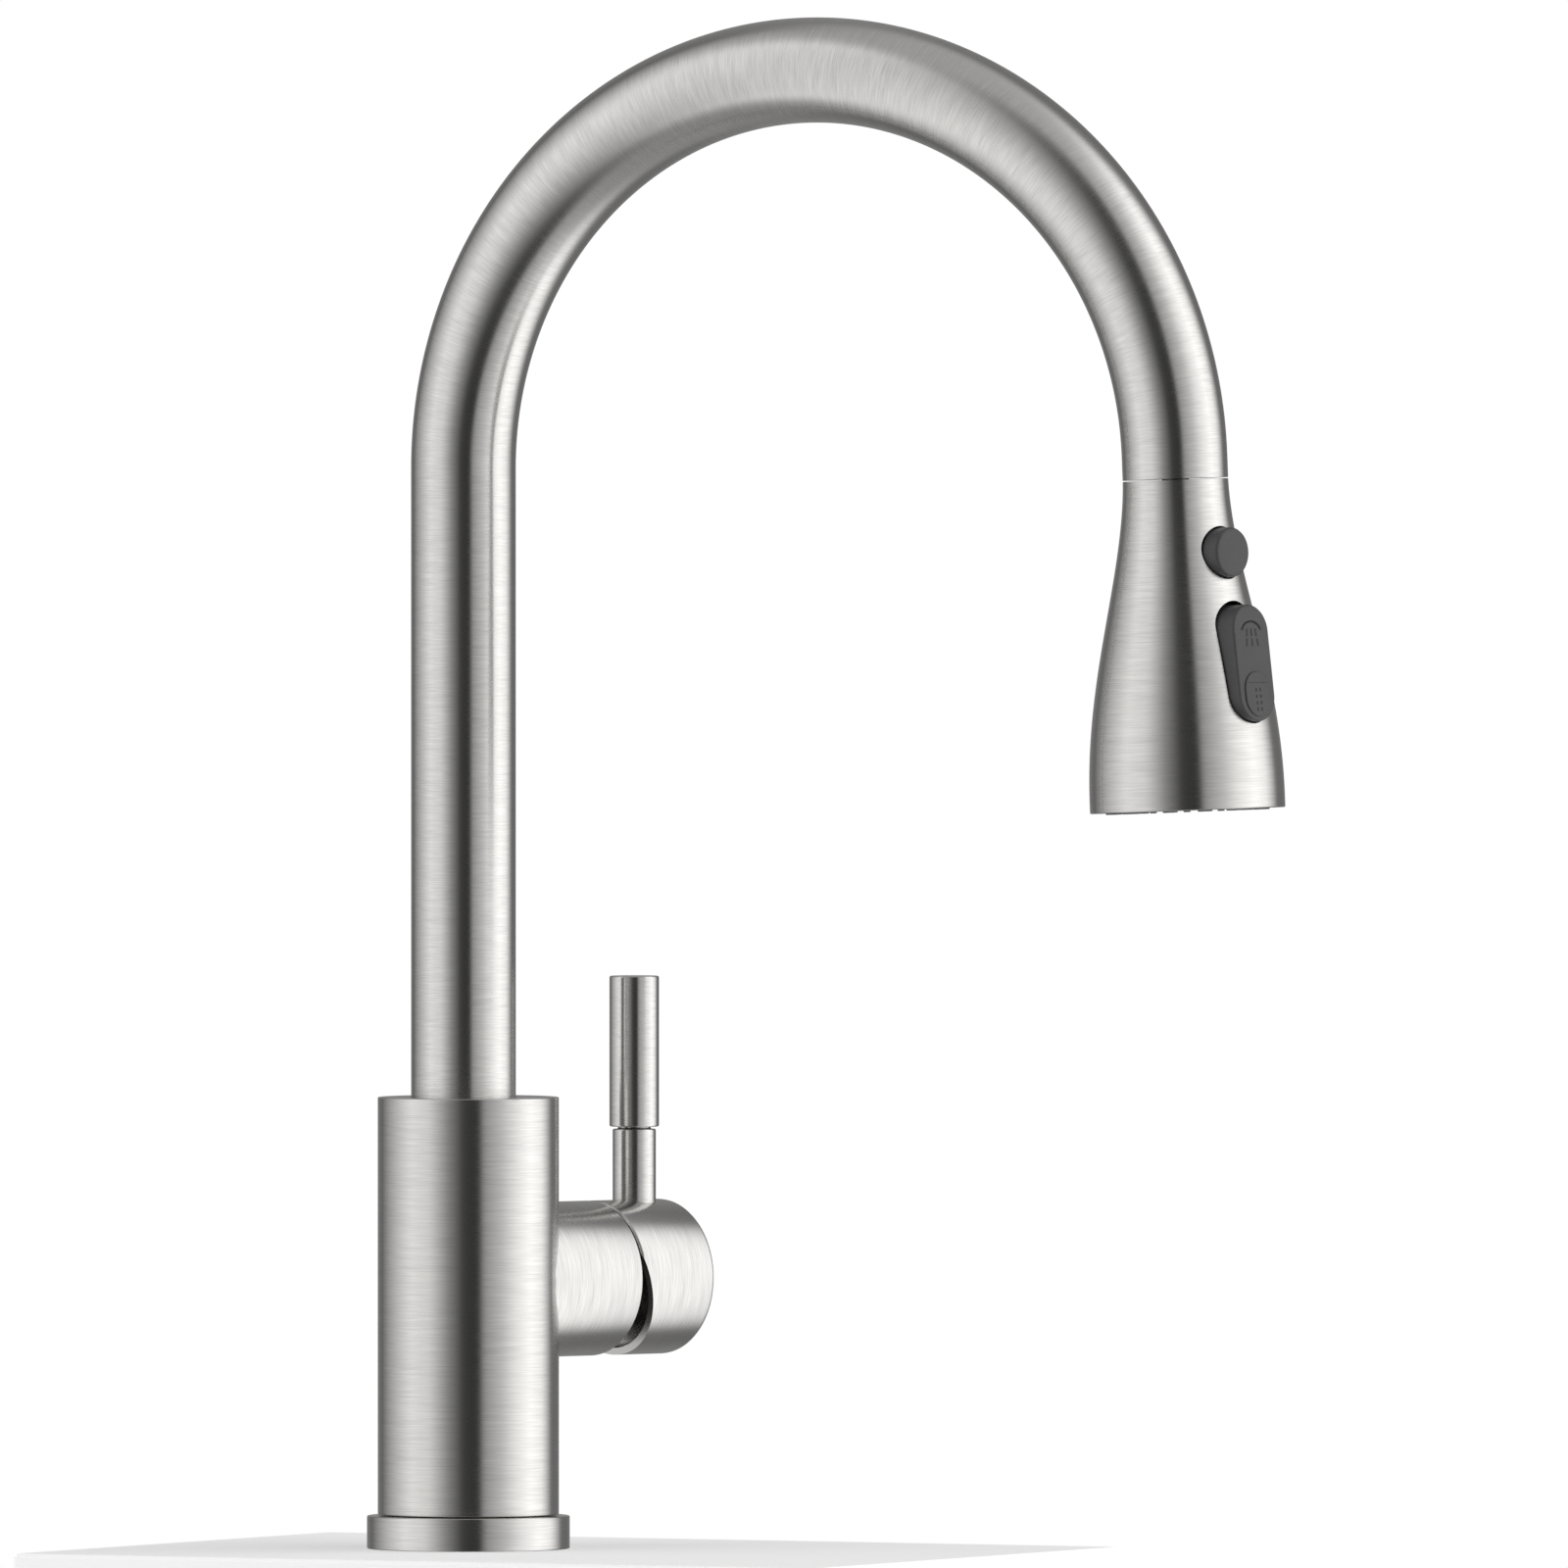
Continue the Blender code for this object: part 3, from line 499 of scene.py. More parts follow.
def cast_metal(name, dark, light, roughness, grain=900.0):
    """A turned or cast metal with no brushing, slightly uneven in colour."""
    made = new_material(name, light, roughness, 1.0)
    tree = made.node_tree
    shader = tree.nodes["Principled BSDF"]
    spots = noise(tree, object_coordinates(tree), grain, 4.0)
    clouds = noise(tree, object_coordinates(tree), 60.0, 2.0)
    tree.links.new(ramp(tree, clouds, [(0.35, dark), (0.65, light)]), shader.inputs["Base Color"])
    low = grey(roughness - 0.07)
    high = grey(roughness + 0.08)
    tree.links.new(ramp(tree, spots, [(0.3, low), (0.7, high)]), shader.inputs["Roughness"])
    add_bump(tree, spots, 0.15, 0.00008)
    return made


def plastic(name, dark, light, roughness, grain=2600.0, depth=0.00005):
    """A moulded plastic or rubber with the fine grain of its mould."""
    made = new_material(name, light, roughness, 0.0)
    tree = made.node_tree
    shader = tree.nodes["Principled BSDF"]
    spots = noise(tree, object_coordinates(tree), grain, 3.0)
    clouds = noise(tree, object_coordinates(tree), 90.0, 2.0)
    tree.links.new(ramp(tree, clouds, [(0.3, dark), (0.7, light)]), shader.inputs["Base Color"])
    low = grey(roughness - 0.05)
    high = grey(roughness + 0.07)
    tree.links.new(ramp(tree, spots, [(0.3, low), (0.7, high)]), shader.inputs["Roughness"])
    add_bump(tree, spots, 0.25, depth)
    return made


def braid(name):
    """Grey nylon braid: two sets of strands that wind round the hose opposite ways."""
    made = new_material(name, grey(0.30), 0.55, 0.0)
    tree = made.node_tree
    shader = tree.nodes["Principled BSDF"]
    uv = tree.nodes.new("ShaderNodeUVMap")
    uv.uv_map = UV_NAME
    around = tree.nodes.new("ShaderNodeSeparateXYZ")
    tree.links.new(uv.outputs["UV"], around.inputs[0])
    place = tree.nodes.new("ShaderNodeSeparateXYZ")
    tree.links.new(object_coordinates(tree), place.inputs[0])
    turn = math_node(tree, "MULTIPLY", around.outputs["X"], math.tau * 8)
    along = math_node(tree, "MULTIPLY", place.outputs["Z"], 2400.0)
    right = math_node(tree, "SINE", math_node(tree, "ADD", turn, along))
    left = math_node(tree, "SINE", math_node(tree, "SUBTRACT", turn, along))
    weave = math_node(tree, "MULTIPLY", right, left)
    height = math_node(tree, "MULTIPLY_ADD", weave, 0.5)
    height.node.inputs[2].default_value = 0.5
    tree.links.new(ramp(tree, height, [(0.2, grey(0.10)), (0.75, grey(0.42))]), shader.inputs["Base Color"])
    add_bump(tree, height, 0.7, 0.0003)
    return made


def mesh_screen(name):
    """Steel gauze, with its wires as a raised grid."""
    made = cast_metal(name, grey(0.30), grey(0.62), 0.35)
    tree = made.node_tree
    checks = tree.nodes.new("ShaderNodeTexChecker")
    checks.inputs["Scale"].default_value = 1800.0
    tree.links.new(object_coordinates(tree), checks.inputs["Vector"])
    add_bump(tree, checks.outputs["Fac"], 0.6, 0.0002)
    return made


def make_materials():
    return {
        "brushed_steel": brushed_metal(
            "brushed_steel_look", (0.56, 0.553, 0.54), (0.68, 0.672, 0.655), 0.20, 0.30,
        ),
        "plain_steel": cast_metal("plain_steel_look", grey(0.46), grey(0.60), 0.34),
        "brass": cast_metal("brass_look", (0.60, 0.43, 0.19), (0.76, 0.58, 0.30), 0.33),
        "black_plastic": plastic("black_plastic_look", grey(0.020), grey(0.032), 0.46),
        "charcoal_plastic": plastic(
            "charcoal_plastic_look", (0.058, 0.056, 0.058), (0.071, 0.069, 0.071), 0.44,
        ),
        "icon_plastic": plastic("icon_plastic_look", grey(0.010), grey(0.016), 0.50),
        "white_plastic": plastic("white_plastic_look", (0.70, 0.70, 0.67), (0.82, 0.82, 0.80), 0.40),
        "black_rubber": plastic("black_rubber_look", grey(0.018), grey(0.035), 0.72, 1500.0, 0.0001),
        "grey_rubber": plastic("grey_rubber_look", grey(0.10), grey(0.14), 0.62, 1800.0, 0.00006),
        "ceramic": plastic("ceramic_look", (0.80, 0.79, 0.75), (0.88, 0.87, 0.84), 0.22),
        "magnet": cast_metal("magnet_look", grey(0.16), grey(0.24), 0.42),
        "braided_hose": braid("braided_hose_look"),
        "mesh_screen": mesh_screen("mesh_screen_look"),
    }


def dress_cad_nodes(frame, looks):
    """The CAD nodes keep their shape and get the finished material of their slot.

    The brushed and braided looks need a UV map, which these nodes don't have, so plain steel stands in.
    """
    slots = {part["node"]: part["material_slot"] for part in frame["record"]["subparts"]}
    need_uv_map = (looks["braided_hose"], looks["brushed_steel"])
    for name, obj in frame["nodes"].items():
        look = looks[slots[name]]
        if look in need_uv_map:
            look = looks["plain_steel"]
        if name == "filter_screen":
            look = looks["mesh_screen"]
        obj.data.materials.clear()
        obj.data.materials.append(look)


# ---------------------------------------------------------------- base and body

def make_base(frames, looks):
    upright = frames["upright"]
    flange = rounded([
        (17.0, 0.0), (18.5, 0.0), (18.5, 2.2), (22.5, 2.2), (22.5, 0.0), (FLANGE_R, 0.0),
        (FLANGE_R, FLANGE_H), (17.0, FLANGE_H),
    ], 0.4)
    piece = lathe("flange_ring", flange, upright, looks["brushed_steel"])
    show(piece, "base", "brushed_steel", "base_flange")
    seal = rounded(ring(18.8, 22.2, 0.0, 1.9), 0.5)
    piece = lathe("flange_seal", seal, upright, looks["black_rubber"])
    show(piece, "base", "black_rubber", "base_seal")


def make_body(frames, looks):
    upright = frames["upright"]
    steel = looks["brushed_steel"]
    outline = rounded([
        (SHANK_R + 0.3, BODY_FOOT_Z), (BODY_R, BODY_FOOT_Z), (BODY_R, BODY_TOP_Z), (6.0, BODY_TOP_Z),
        (6.0, BODY_TOP_Z - 3.2), (BODY_BORE, BODY_TOP_Z - 3.2), (BODY_BORE, 15.1), (SHANK_R + 0.3, 15.1),
    ], 0.35)
    body = lathe("body_tube", outline, upright, steel)
    bore = lathe("spout_bore", rod(SPOUT_BORE, BODY_TOP_Z - 6, BODY_TOP_Z + 6), frames["swivel"], None)
    boolean(body, [bore])
    show(body, "base", "brushed_steel", "body_shell")
    barrel = rounded(ring(BARREL_BORE, BARREL_R, 12.4, BARREL_END), 0.35)
    piece = lathe("handle_barrel", barrel, frames["side"], steel)
    show(piece, "base", "brushed_steel", "body_shell")
    bonnet = rounded([
        (18.0, 43.3), (18.0, 46.6), (17.2, 47.6), (12.6, 50.0), (11.8, 50.0),
        (11.8, 48.9), (16.2, 46.6), (16.2, 43.3),
    ], 0.4)
    piece = lathe("cartridge_bonnet", bonnet, frames["side"], looks["black_plastic"])
    show(piece, "base", "black_plastic", "bonnet")


def thread_outline():
    """The shank's outline, with a ring for each turn of its thread."""
    pitch = 2.0
    top = -8.0
    outline = [(SHANK_BORE, 14.6), (SHANK_R - 0.3, 14.6), (SHANK_R, 14.3), (SHANK_R, top)]
    for i in range(int((top - SHANK_FOOT_Z) / pitch)):
        height = top - pitch * i
        outline.append((SHANK_R - 0.8, height - pitch * 0.5))
        outline.append((SHANK_R - 0.05, height - pitch * 0.95))
        outline.append((SHANK_R - 0.05, height - pitch))
    outline.append((SHANK_R - 0.8, SHANK_FOOT_Z))
    outline.append((SHANK_BORE, SHANK_FOOT_Z))
    return outline


def make_nut(frames, looks):
    """A hexagonal nut with turned chamfers on its corners."""
    upright = frames["upright"]
    high = -WORKTOP - 5.5
    low = -WORKTOP - 17.0
    corner = 25.5
    chamfered = [
        (SHANK_R + 0.3, low), (corner - 3.2, low), (corner - 0.1, low + 1.6),
        (corner - 0.1, high - 1.6), (corner - 3.2, high), (SHANK_R + 0.3, high),
    ]
    nut = lathe("clamp_nut", chamfered, upright, looks["brass"])
    prism = lathe("hexagon", rod(corner, low - 4, high + 4), upright, None, 6)
    boolean(nut, [prism], "INTERSECT")
    show(nut, "base", "brass", "mounting_nut")


def make_deck_fixings(frames, looks):
    upright = frames["upright"]
    shank = lathe("threaded_shank", thread_outline(), upright, looks["brass"], 96)
    show(shank, "base", "brass", "mounting_shank")
    top = -WORKTOP
    rubber = rounded(ring(17.0, 27.0, top - 3.0, top), 0.7)
    piece = lathe("clamp_washer_rubber", rubber, upright, looks["black_rubber"])
    show(piece, "base", "black_rubber", "rubber_washer")
    steel = rounded(ring(17.0, 26.0, top - 5.2, top - 3.3), 0.4)
    piece = lathe("clamp_washer_steel", steel, upright, looks["plain_steel"])
    show(piece, "base", "plain_steel", "steel_washer")
    make_nut(frames, looks)


def make_swivel_bush(frames, looks):
    """The bush and socket that show round the foot of the spout tube."""
    bush = rounded(ring(SPOUT_BORE, 17.0, 109.0, 116.8), 0.5)
    piece = lathe("spout_bush", bush, frames["swivel"], looks["white_plastic"])
    show(piece, "base", "white_plastic", "upper_bush")


# ---------------------------------------------------------------- handle

def hub_wedge(side):
    """The wedge cut from the hub's rim, which gives the lever room to tilt."""
    start = HUB_NEAR - 4.0
    slope_end = HUB_NEAR + WEDGE_SLOPE * (WEDGE_TOP - WEDGE_LOWEST)
    corners = [(start, WEDGE_TOP), (HUB_NEAR, WEDGE_TOP), (slope_end, WEDGE_LOWEST), (start, WEDGE_LOWEST)]
    bm, _ = new_shape()
    ends = []
    for y in (-WEDGE_HALF_W, WEDGE_HALF_W):
        ends.append([bm.verts.new(side @ (Vector((x, y, along)) * MM)) for along, x in corners])
    for i in range(4):
        j = (i + 1) % 4
        bm.faces.new([ends[0][i], ends[0][j], ends[1][j], ends[1][i]])
    bm.faces.new(ends[0])
    bm.faces.new(ends[1])
    return finish_piece("hub_wedge", bm, None)


def make_hub(frames, looks):
    """The cap on the end of the barrel, whose rim slopes away under the lever."""
    outline = rounded([
        (HUB_BORE, HUB_NEAR), (BARREL_R, HUB_NEAR), (BARREL_R, HUB_FAR), (0.0, HUB_FAR),
        (0.0, HUB_FLOOR), (HUB_BORE, HUB_FLOOR),
    ], 1.3)
    hub = lathe("hub_cap", outline, frames["side"], looks["brushed_steel"])
    boolean(hub, [hub_wedge(frames["side"])])
    show(hub, "handle", "brushed_steel", "handle_hub")


def make_lever(frames, looks):
    lever = frames["lever"]
    rod_outline = rounded([
        (0.0, 80.6), (3.7, 80.6), (3.7, 90.6), (LEVER_R, 90.6), (LEVER_R, 111.0),
        (4.4, 111.0), (4.4, 147.5), (0.0, 147.5),
    ], 0.45)
    piece = lathe("lever_stem", rod_outline, lever, looks["brushed_steel"])
    show(piece, "handle", "brushed_steel", "lever_rod")
    grip_outline = rounded([
        (4.7, GRIP_FOOT_Z), (GRIP_R, GRIP_FOOT_Z), (GRIP_R, GRIP_TOP_Z), (0.0, GRIP_TOP_Z),
        (0.0, 148.0), (4.7, 148.0),
    ], 0.5)
    piece = lathe("lever_sleeve", grip_outline, lever, looks["brushed_steel"])
    show(piece, "handle", "brushed_steel", "lever_grip")


# ---------------------------------------------------------------- spout and hose

def spout_path(foot_z, short_of_seam, arc_steps, foot_steps):
    """Points and directions from a foot, up and over the arc, ending this far short of the seam."""
    up = Vector((0.0, 0.0, 1.0))
    path = []
    for i in range(foot_steps):
        height = foot_z + (ARC_CENTRE_Z - foot_z) * i / foot_steps
        path.append((Vector((SWIVEL_X, 0.0, height)), up))
    arc_left_out = max(short_of_seam - DOCK_STRAIGHT, 0.0)
    sweep = math.pi - math.radians(ARC_SHORT_DEG) - arc_left_out / ARC_R
    for i in range(arc_steps + 1):
        turn = sweep * i / arc_steps
        path.append((arc_point(turn), Vector((math.sin(turn), 0.0, math.cos(turn)))))
    if short_of_seam < DOCK_STRAIGHT:
        path.append((seam_point() - short_of_seam * head_direction(), head_direction()))
    return path


def make_spout(frames, looks):
    bm, uv = new_shape()
    add_sweep(bm, uv, spout_path(TUBE_FOOT_Z, 0.0, 150, 24), TUBE_R, TUBE_R - TUBE_WALL)
    spout = finish_piece("gooseneck", bm, looks["brushed_steel"])
    show(spout, "spout", "brushed_steel", "spout_tube")
    dock = rounded([(9.2, 0.8), (10.0, 0.0), (12.3, 0.0), (12.3, 8.5), (9.2, 8.5)], 0.3)
    piece = lathe("dock_socket", dock, frames["head"], looks["black_plastic"])
    show(piece, "spout", "black_plastic", "dock_insert")


def make_hose(frames, looks):
    foot_z = -60.0
    bm, uv = new_shape()
    add_sweep(bm, uv, spout_path(foot_z, 9.5, 60, 12), HOSE_R, HOSE_BORE, FEW_SIDES)
    hose = finish_piece("hose_in_spout", bm, looks["braided_hose"])
    show(hose, "spout", "braided_hose", "spray_hose")
    outline = rounded([
        (2.2, foot_z - 0.3), (6.4, foot_z - 0.3), (6.4, foot_z - 8.0), (4.4, foot_z - 8.6),
        (4.4, foot_z - 12.0), (5.2, foot_z - 12.6), (5.2, foot_z - 15.0), (4.4, foot_z - 15.6),
        (4.4, foot_z - 23.4), (3.8, foot_z - 24.0), (2.2, foot_z - 24.0),
    ], 0.4)
    connector = lathe("quick_connector", outline, frames["swivel"], looks["brass"], 96)
    show(connector, "spout", "brass", "hose_connector")


def make_pull_hose(frames, looks):
    """The stretch of hose that comes out of the spout with the spray head."""
    low = 4.7
    high = 9.2
    steps = 90
    outline = [(HOSE_R, low + (high - low) * i / steps) for i in range(steps + 1)]
    outline += [(HOSE_BORE, high), (HOSE_BORE, low)]
    hose = lathe("pull_out_hose", outline, frames["head"], looks["braided_hose"], FEW_SIDES)
    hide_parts("hose_pull_section")
    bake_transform(hose)
    ferrule = rounded([
        (2.2, 4.4), (7.0, 4.4), (7.0, 0.8), (3.6, 0.8),
        (3.6, -3.6), (5.0, -4.0), (5.0, -6.4), (2.2, -6.4),
    ], 0.4)
    piece = lathe("hose_crimp", ferrule, frames["head"], looks["plain_steel"], 96)
    show(piece, "hose_end", "plain_steel", "hose_ferrule")
    docking = rounded(ring(7.3, 8.8, 1.0, 4.2), 0.4)
    piece = lathe("dock_ring", docking, frames["head"], looks["plain_steel"], 96)
    show(piece, "hose_end", "plain_steel", "docking_ring")


# ---------------------------------------------------------------- spray head

def head_radius(down):
    along = min(down / HEAD_RAMP, 1.0) ** HEAD_RAMP_POWER
    return TUBE_R + (HEAD_MOUTH_R - TUBE_R) * math.sin(along * math.pi / 2) ** 2


def head_curve(start, end, steps, inset):
    points = []
    for i in range(steps + 1):
        down = start + (end - start) * i / steps
        points.append((head_radius(down) - inset, -down))
    return points


def stadium(half_width, up, down, steps=24):
    """A slot's outline in the Y-Z plane, with round ends, reaching from up to -down along Z."""
    outline = []
    for centre, start in ((up - half_width, 0.0), (-down + half_width, math.pi)):
        for i in range(steps + 1):
            angle = start + math.pi * i / steps
            outline.append((half_width * math.cos(angle), centre + half_width * math.sin(angle)))
    return outline


def add_slab(bm, uv, layers, frame):
    """Skins stadium outlines set one over another: each layer is (inset, x, half width, up, down)."""
    rings = []
    lengths = [0.0]
    for inset, x, half_width, up, down in layers:
        outline = stadium(half_width - inset, up - inset, down - inset)
        rings.append([
            bm.verts.new(frame @ (Vector((x - ROCKER_SLOPE * z, y, z)) * MM)) for y, z in outline
        ])
        lengths.append(lengths[-1] + 0.001)
    add_rings(bm, uv, rings, lengths, False)
    bm.faces.new(rings[0])
    bm.faces.new(rings[-1])


def edge_layers(near, far, edge, half_width, up, down):
    """The layers of a slab whose far edge is rounded."""
    layers = [(0.0, near, half_width, up, down)]
    for i in range(CORNER_STEPS + 1):
        angle = math.pi / 2 * i / CORNER_STEPS
        inset = edge * (1 - math.cos(angle))
        layers.append((inset, far - edge + edge * math.sin(angle), half_width, up, down))
    return layers


def make_head_shell(frames, looks):
    head = frames["head"]
    outer = head_curve(0.35, HEAD_LENGTH - 0.25, 150, 0.0)
    inner = head_curve(2.4, HEAD_LENGTH - 0.25, 60, HEAD_WALL)
    mouth = [(HEAD_MOUTH_R - 0.25, -HEAD_LENGTH), (HEAD_MOUTH_R - HEAD_WALL + 0.25, -HEAD_LENGTH)]
    outline = [(9.5, -0.3), (TUBE_R - 0.15, -0.3)] + outer + mouth + inner[::-1] + [(9.5, -2.4)]
    shell = lathe("head_housing", outline, head, looks["brushed_steel"])
    button_hole = lathe("button_hole", rod(BUTTON_R + 0.5, 10.5, 30.0), frames["button"], None, 64)
    bm, uv = new_shape()
    rings = []
    slot = stadium(SLOT_HALF_W, SLOT_UP, SLOT_DOWN)
    for x in (11.0, 40.0):
        at = head @ shift(x, 0, -ROCKER_DOWN)
        rings.append([bm.verts.new(at @ (Vector((0.0, y, z)) * MM)) for y, z in slot])
    add_rings(bm, uv, rings, [0.0, 0.01], False)
    bm.faces.new(rings[0])
    bm.faces.new(rings[1])
    boolean(shell, [button_hole, finish_piece("rocker_hole", bm, None)])
    show(shell, "spray_head", "brushed_steel", "head_shell")


def make_button(frames, looks):
    outline = rounded([
        (0.0, 3.9), (1.4, 3.9), (1.4, 16.6), (4.8, 16.6), (4.8, 14.0), (BUTTON_R, 14.0),
        (BUTTON_R, BUTTON_FACE), (0.0, BUTTON_FACE),
    ], 1.1)
    button = lathe("pause_knob", outline, frames["button"], looks["charcoal_plastic"], 96)
    show(button, "pause_button", "charcoal_plastic", "pause_button")


def make_button_spring(frames, looks):
    """The coil behind the button."""
    button = frames["button"]
    up = Vector((0.0, 0.0, 1.0))
    rings = []
    lengths = []
    bm, uv = new_shape()
    for i in range(SPRING_STEPS + 1):
        along = i / SPRING_STEPS
        angle = math.tau * SPRING_TURNS * along
        outward = Vector((math.cos(angle), math.sin(angle), 0.0))
        middle = outward * SPRING_R + up * (SPRING_LOW + (SPRING_HIGH - SPRING_LOW) * along)
        wire = []
        for k in range(WIRE_SIDES):
            around = math.tau * k / WIRE_SIDES
            offset = WIRE_R * (math.cos(around) * outward + math.sin(around) * up)
            wire.append(bm.verts.new(button @ ((middle + offset) * MM)))
        rings.append(wire)
        lengths.append(SPRING_R * angle * MM)
    add_rings(bm, uv, rings, lengths, False)
    bm.faces.new(rings[0])
    bm.faces.new(rings[-1])
    spring = finish_piece("return_spring", bm, looks["plain_steel"])
    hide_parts("button_spring")
    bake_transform(spring)


def add_stroke(bm, frame, middle, size, tilt_deg=0.0, raised=0.0):
    """A short dark stroke on the rocker's face, at (y, z)."""
    y, z = middle
    x = ROCKER_FACE + raised - ROCKER_SLOPE * z
    tilt = Matrix.Rotation(math.radians(tilt_deg), 4, "X")
    lean = Matrix.Rotation(math.atan(-ROCKER_SLOPE), 4, "Y")
    at = frame @ shift(x, y, z) @ lean @ tilt
    half_y = size[0] / 2
    half_z = size[1] / 2
    add_box(bm, (-0.3, -half_y, -half_z), (0.06, half_y, half_z), at, 0.05)


def make_rocker_marks(frames, looks):
    """A generic shower mark at the top and dots at the bottom."""
    rocker = frames["rocker"]
    bm, _ = new_shape()
    half_width = 3.7
    rise = 2.8
    strokes = 15
    for i in range(strokes):
        angle = math.radians(22 + 136 * i / (strokes - 1))
        place = (half_width * math.cos(angle), 8.2 + rise * math.sin(angle))
        slope = math.degrees(math.atan2(rise * math.cos(angle), -half_width * math.sin(angle)))
        add_stroke(bm, rocker, place, (0.95, 0.40), slope)
    for row, height in enumerate((8.1, 5.5)):
        for column in (-1, 0, 1):
            place = (column * (1.75 + 0.4 * row), height)
            add_stroke(bm, rocker, place, (0.52, 2.1), 7 * column)
    for row in range(4):
        for column in (-0.8, 0.8):
            add_stroke(bm, rocker, (column, -7.1 - 1.72 * row), (0.58, 0.95), 0.0, RAISED)
    add_stroke(bm, rocker, (0.0, -5.2), (7.4, 0.16), 0.0, RAISED)
    marks = finish_piece("rocker_marks", bm, looks["icon_plastic"])
    show(marks, "mode_rocker", "charcoal_plastic")


def make_rocker(frames, looks):
    rocker = frames["rocker"]
    bm, uv = new_shape()
    near = ROCKER_FACE - ROCKER_THICK
    layers = edge_layers(near, ROCKER_FACE, 0.7, ROCKER_HALF_W, ROCKER_HALF_L, ROCKER_HALF_L)
    add_slab(bm, uv, layers, rocker)
    raised = edge_layers(ROCKER_FACE - 0.5, ROCKER_FACE + RAISED, 0.25, 4.9, -2.2, 14.2)
    add_slab(bm, uv, raised, rocker)
    across = rocker @ Matrix.Rotation(math.radians(-90), 4, "X")
    add_box(bm, (-0.5, -5.0, -2.2), (near + 0.5, 5.0, 2.2), rocker, 0.2)
    add_lathe(bm, uv, rounded(ring(1.3, 2.5, -5.2, 5.2), 0.2), across, 32)
    add_box(bm, (-14.2, -1.1, -0.9), (-1.9, 1.1, 0.9), rocker, 0.15)
    piece = finish_piece("mode_paddle", bm, looks["charcoal_plastic"])
    show(piece, "mode_rocker", "charcoal_plastic", "mode_rocker")
    make_rocker_marks(frames, looks)


def make_spray_plate(frames, looks):
    face = rounded(ring(7.4, 24.1, -86.6, -83.5), 0.5)
    piece = lathe("spray_plate", face, frames["head"], looks["black_plastic"])
    show(piece, "spray_head", "black_plastic", "spray_face")


def make_nozzles(frames, looks):
    """The rubber mat, with a nub for each nozzle."""
    head = frames["head"]
    bm, uv = new_shape()
    add_lathe(bm, uv, rounded(ring(9.2, 23.0, -83.1, -81.3), 0.3), head, 96)
    nub = rounded([
        (0.0, -82.2), (1.25, -82.2), (1.25, -86.9), (0.9, -88.3), (0.35, -88.3), (0.3, -87.0), (0.0, -87.0),
    ], 0.2)
    for radius, count in NOZZLE_RINGS:
        for i in range(count):
            angle = math.tau * (i + 0.5) / count
            at = head @ shift(radius * math.cos(angle), radius * math.sin(angle), 0.0)
            add_lathe(bm, uv, nub, at, 20)
    piece = finish_piece("nozzle_nubs", bm, looks["grey_rubber"])
    show(piece, "spray_head", "grey_rubber", "nozzle_mat")


def make_aerator(frames, looks):
    """The aerator's rim, with bars both ways across its mouth."""
    head = frames["head"]
    mouth_r = 5.5
    spacing = 1.5
    half_bar = 0.2
    low = -83.6
    high = -82.4
    bm, uv = new_shape()
    rim = rounded([
        (5.6, -74.0), (6.8, -74.0), (6.8, -86.8), (5.6, -86.8), (5.6, -82.5), (0.0, -82.5),
        (0.0, -80.5), (5.6, -80.5),
    ], 0.3)
    add_lathe(bm, uv, rim, head, 96)
    for k in range(-3, 4):
        middle = k * spacing
        reach = math.sqrt(mouth_r ** 2 - middle ** 2)
        add_box(bm, (-reach, middle - half_bar, low), (reach, middle + half_bar, high), head)
        add_box(bm, (middle - half_bar, -reach, low), (middle + half_bar, reach, high), head)
    piece = finish_piece("aerator_grid", bm, looks["black_plastic"])
    show(piece, "spray_head", "black_plastic", "aerator")


# ---------------------------------------------------------------- studio

def pale_material():
    made = new_material("stage_pale", grey(0.86), 0.8, 0.0)
    shader = made.node_tree.nodes["Principled BSDF"]
    shader.inputs["Emission Color"].default_value = (1.0, 1.0, 1.0, 1.0)
    shader.inputs["Emission Strength"].default_value = 0.3
    return made


def make_stage():
    """A pale worktop sample under the flange, and a pale floor far below it."""
    pale = pale_material()
    bm, _ = new_shape()
    add_box(bm, (-90.0, -90.0, -WORKTOP), (150.0, 90.0, 0.0), Matrix.Identity(4), 1.0)
    worktop = finish_piece("stage_worktop", bm, pale)
    hole = lathe("deck_hole", rod(17.5, -WORKTOP - 5, 5.0), Matrix.Identity(4), None, 96)
    boolean(worktop, [hole])
    bm, _ = new_shape()
    bmesh.ops.create_grid(bm, x_segments=1, y_segments=1, size=3.0)
    floor = finish_piece("stage_floor", bm, pale)
    floor.location.z = FLOOR_Z
    for piece in (worktop, floor):
        piece.visible_glossy = False


def make_camera():
    azimuth = math.radians(CAMERA_AZIMUTH)
    elevation = math.radians(CAMERA_ELEVATION)
    back = Vector((
        math.sin(azimuth) * math.cos(elevation),
        -math.cos(azimuth) * math.cos(elevation),
        math.sin(elevation),
    ))
    data = bpy.data.cameras.new("camera")
    data.sensor_width = SENSOR
    data.lens = SENSOR * CAMERA_DISTANCE / VIEW_WIDTH
    data.clip_end = 100.0
    camera = bpy.data.objects.new("camera", data)
    bpy.context.scene.collection.objects.link(camera)
    camera.location = Vector(VIEW_CENTRE) + back * CAMERA_DISTANCE
    camera.rotation_mode = "QUATERNION"
    camera.rotation_quaternion = (-back).to_track_quat("-Z", "Y")
    bpy.context.scene.camera = camera


def smooth_step(tree, value, low, high):
    node = tree.nodes.new("ShaderNodeMapRange")
    node.interpolation_type = "SMOOTHSTEP"
    node.inputs["From Min"].default_value = low
    node.inputs["From Max"].default_value = high
    tree.links.new(value, node.inputs["Value"])
    return node.outputs["Result"]


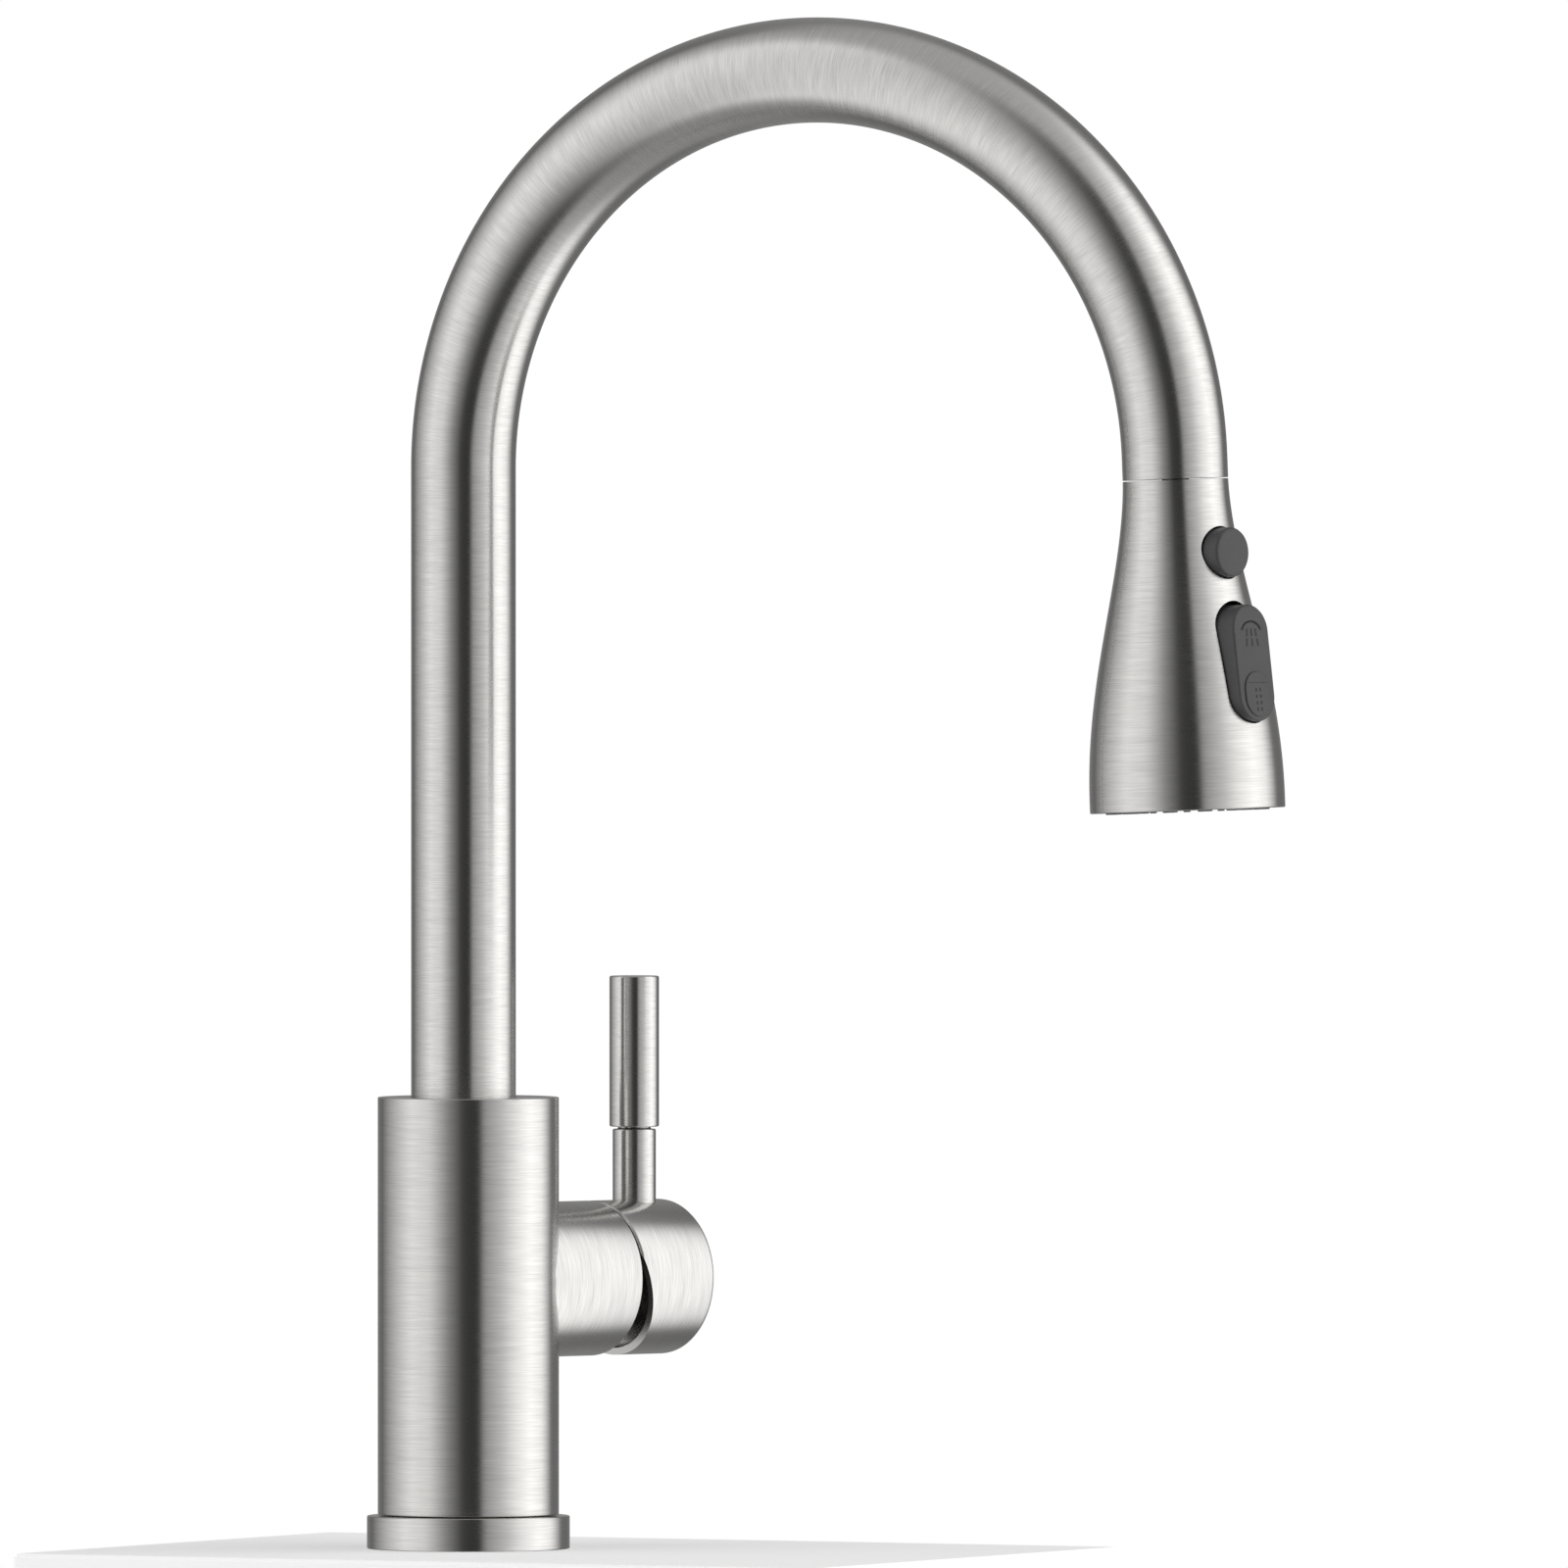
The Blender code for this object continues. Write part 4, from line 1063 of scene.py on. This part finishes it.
def weighted_sum(tree, a, a_weight, b, b_weight):
    first = math_node(tree, "MULTIPLY", a, a_weight)
    return math_node(tree, "ADD", first, math_node(tree, "MULTIPLY", b, b_weight))


def mix_values(tree, factor, a, b):
    change = math_node(tree, "SUBTRACT", b, a)
    return math_node(tree, "ADD", math_node(tree, "MULTIPLY", change, factor), a)


def make_studio():
    """A white backdrop, with soft panels and dark flags round the object that its metal reflects."""
    world = bpy.data.worlds.new("studio")
    bpy.context.scene.world = world
    world.use_nodes = True
    tree = world.node_tree
    background = tree.nodes["Background"]
    output = tree.nodes["World Output"]
    split = tree.nodes.new("ShaderNodeSeparateXYZ")
    tree.links.new(tree.nodes.new("ShaderNodeTexCoord").outputs["Generated"], split.inputs[0])
    x, y, z = split.outputs
    azimuth = math.radians(CAMERA_AZIMUTH)
    across = weighted_sum(tree, x, math.cos(azimuth), y, math.sin(azimuth))
    towards = weighted_sum(tree, x, math.sin(azimuth), y, -math.cos(azimuth))
    bearing = math_node(tree, "ARCTAN2", across, towards)
    place = math_node(tree, "ADD", math_node(tree, "DIVIDE", bearing, math.tau), 0.5)
    stops = [(0.5 + degrees / 360, grey(value)) for degrees, value in STUDIO_RING]
    ring_light = ramp(tree, place, stops)
    down = math_node(tree, "MULTIPLY", z, -1.0)
    lit = mix_values(tree, smooth_step(tree, z, BLEND_LOW, BLEND_HIGH), ring_light, STUDIO_TOP)
    lit = mix_values(tree, smooth_step(tree, down, BLEND_LOW, BLEND_HIGH), lit, STUDIO_BOTTOM)
    tree.links.new(lit, background.inputs["Strength"])
    white = tree.nodes.new("ShaderNodeBackground")
    white.inputs["Strength"].default_value = 1.0
    seen = tree.nodes.new("ShaderNodeLightPath")
    mix = tree.nodes.new("ShaderNodeMixShader")
    background.inputs["Color"].default_value = (1.0, 1.0, 1.0, 1.0)
    white.inputs["Color"].default_value = (1.0, 1.0, 1.0, 1.0)
    tree.links.new(seen.outputs["Is Camera Ray"], mix.inputs["Fac"])
    tree.links.new(background.outputs["Background"], mix.inputs[1])
    tree.links.new(white.outputs["Background"], mix.inputs[2])
    tree.links.new(mix.outputs["Shader"], output.inputs["Surface"])
    bpy.context.scene.view_settings.view_transform = "Standard"


# ---------------------------------------------------------------- the whole scene


def main():
    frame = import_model()
    frames = make_frames()
    looks = make_materials()
    dress_cad_nodes(frame, looks)
    make_camera()
    make_base(frames, looks)
    make_body(frames, looks)
    make_deck_fixings(frames, looks)
    make_swivel_bush(frames, looks)
    make_hub(frames, looks)
    make_lever(frames, looks)
    make_spout(frames, looks)
    make_hose(frames, looks)
    make_pull_hose(frames, looks)
    make_head_shell(frames, looks)
    make_button(frames, looks)
    make_button_spring(frames, looks)
    make_rocker(frames, looks)
    make_spray_plate(frames, looks)
    make_nozzles(frames, looks)
    make_aerator(frames, looks)
    make_stage()
    make_studio()


main()
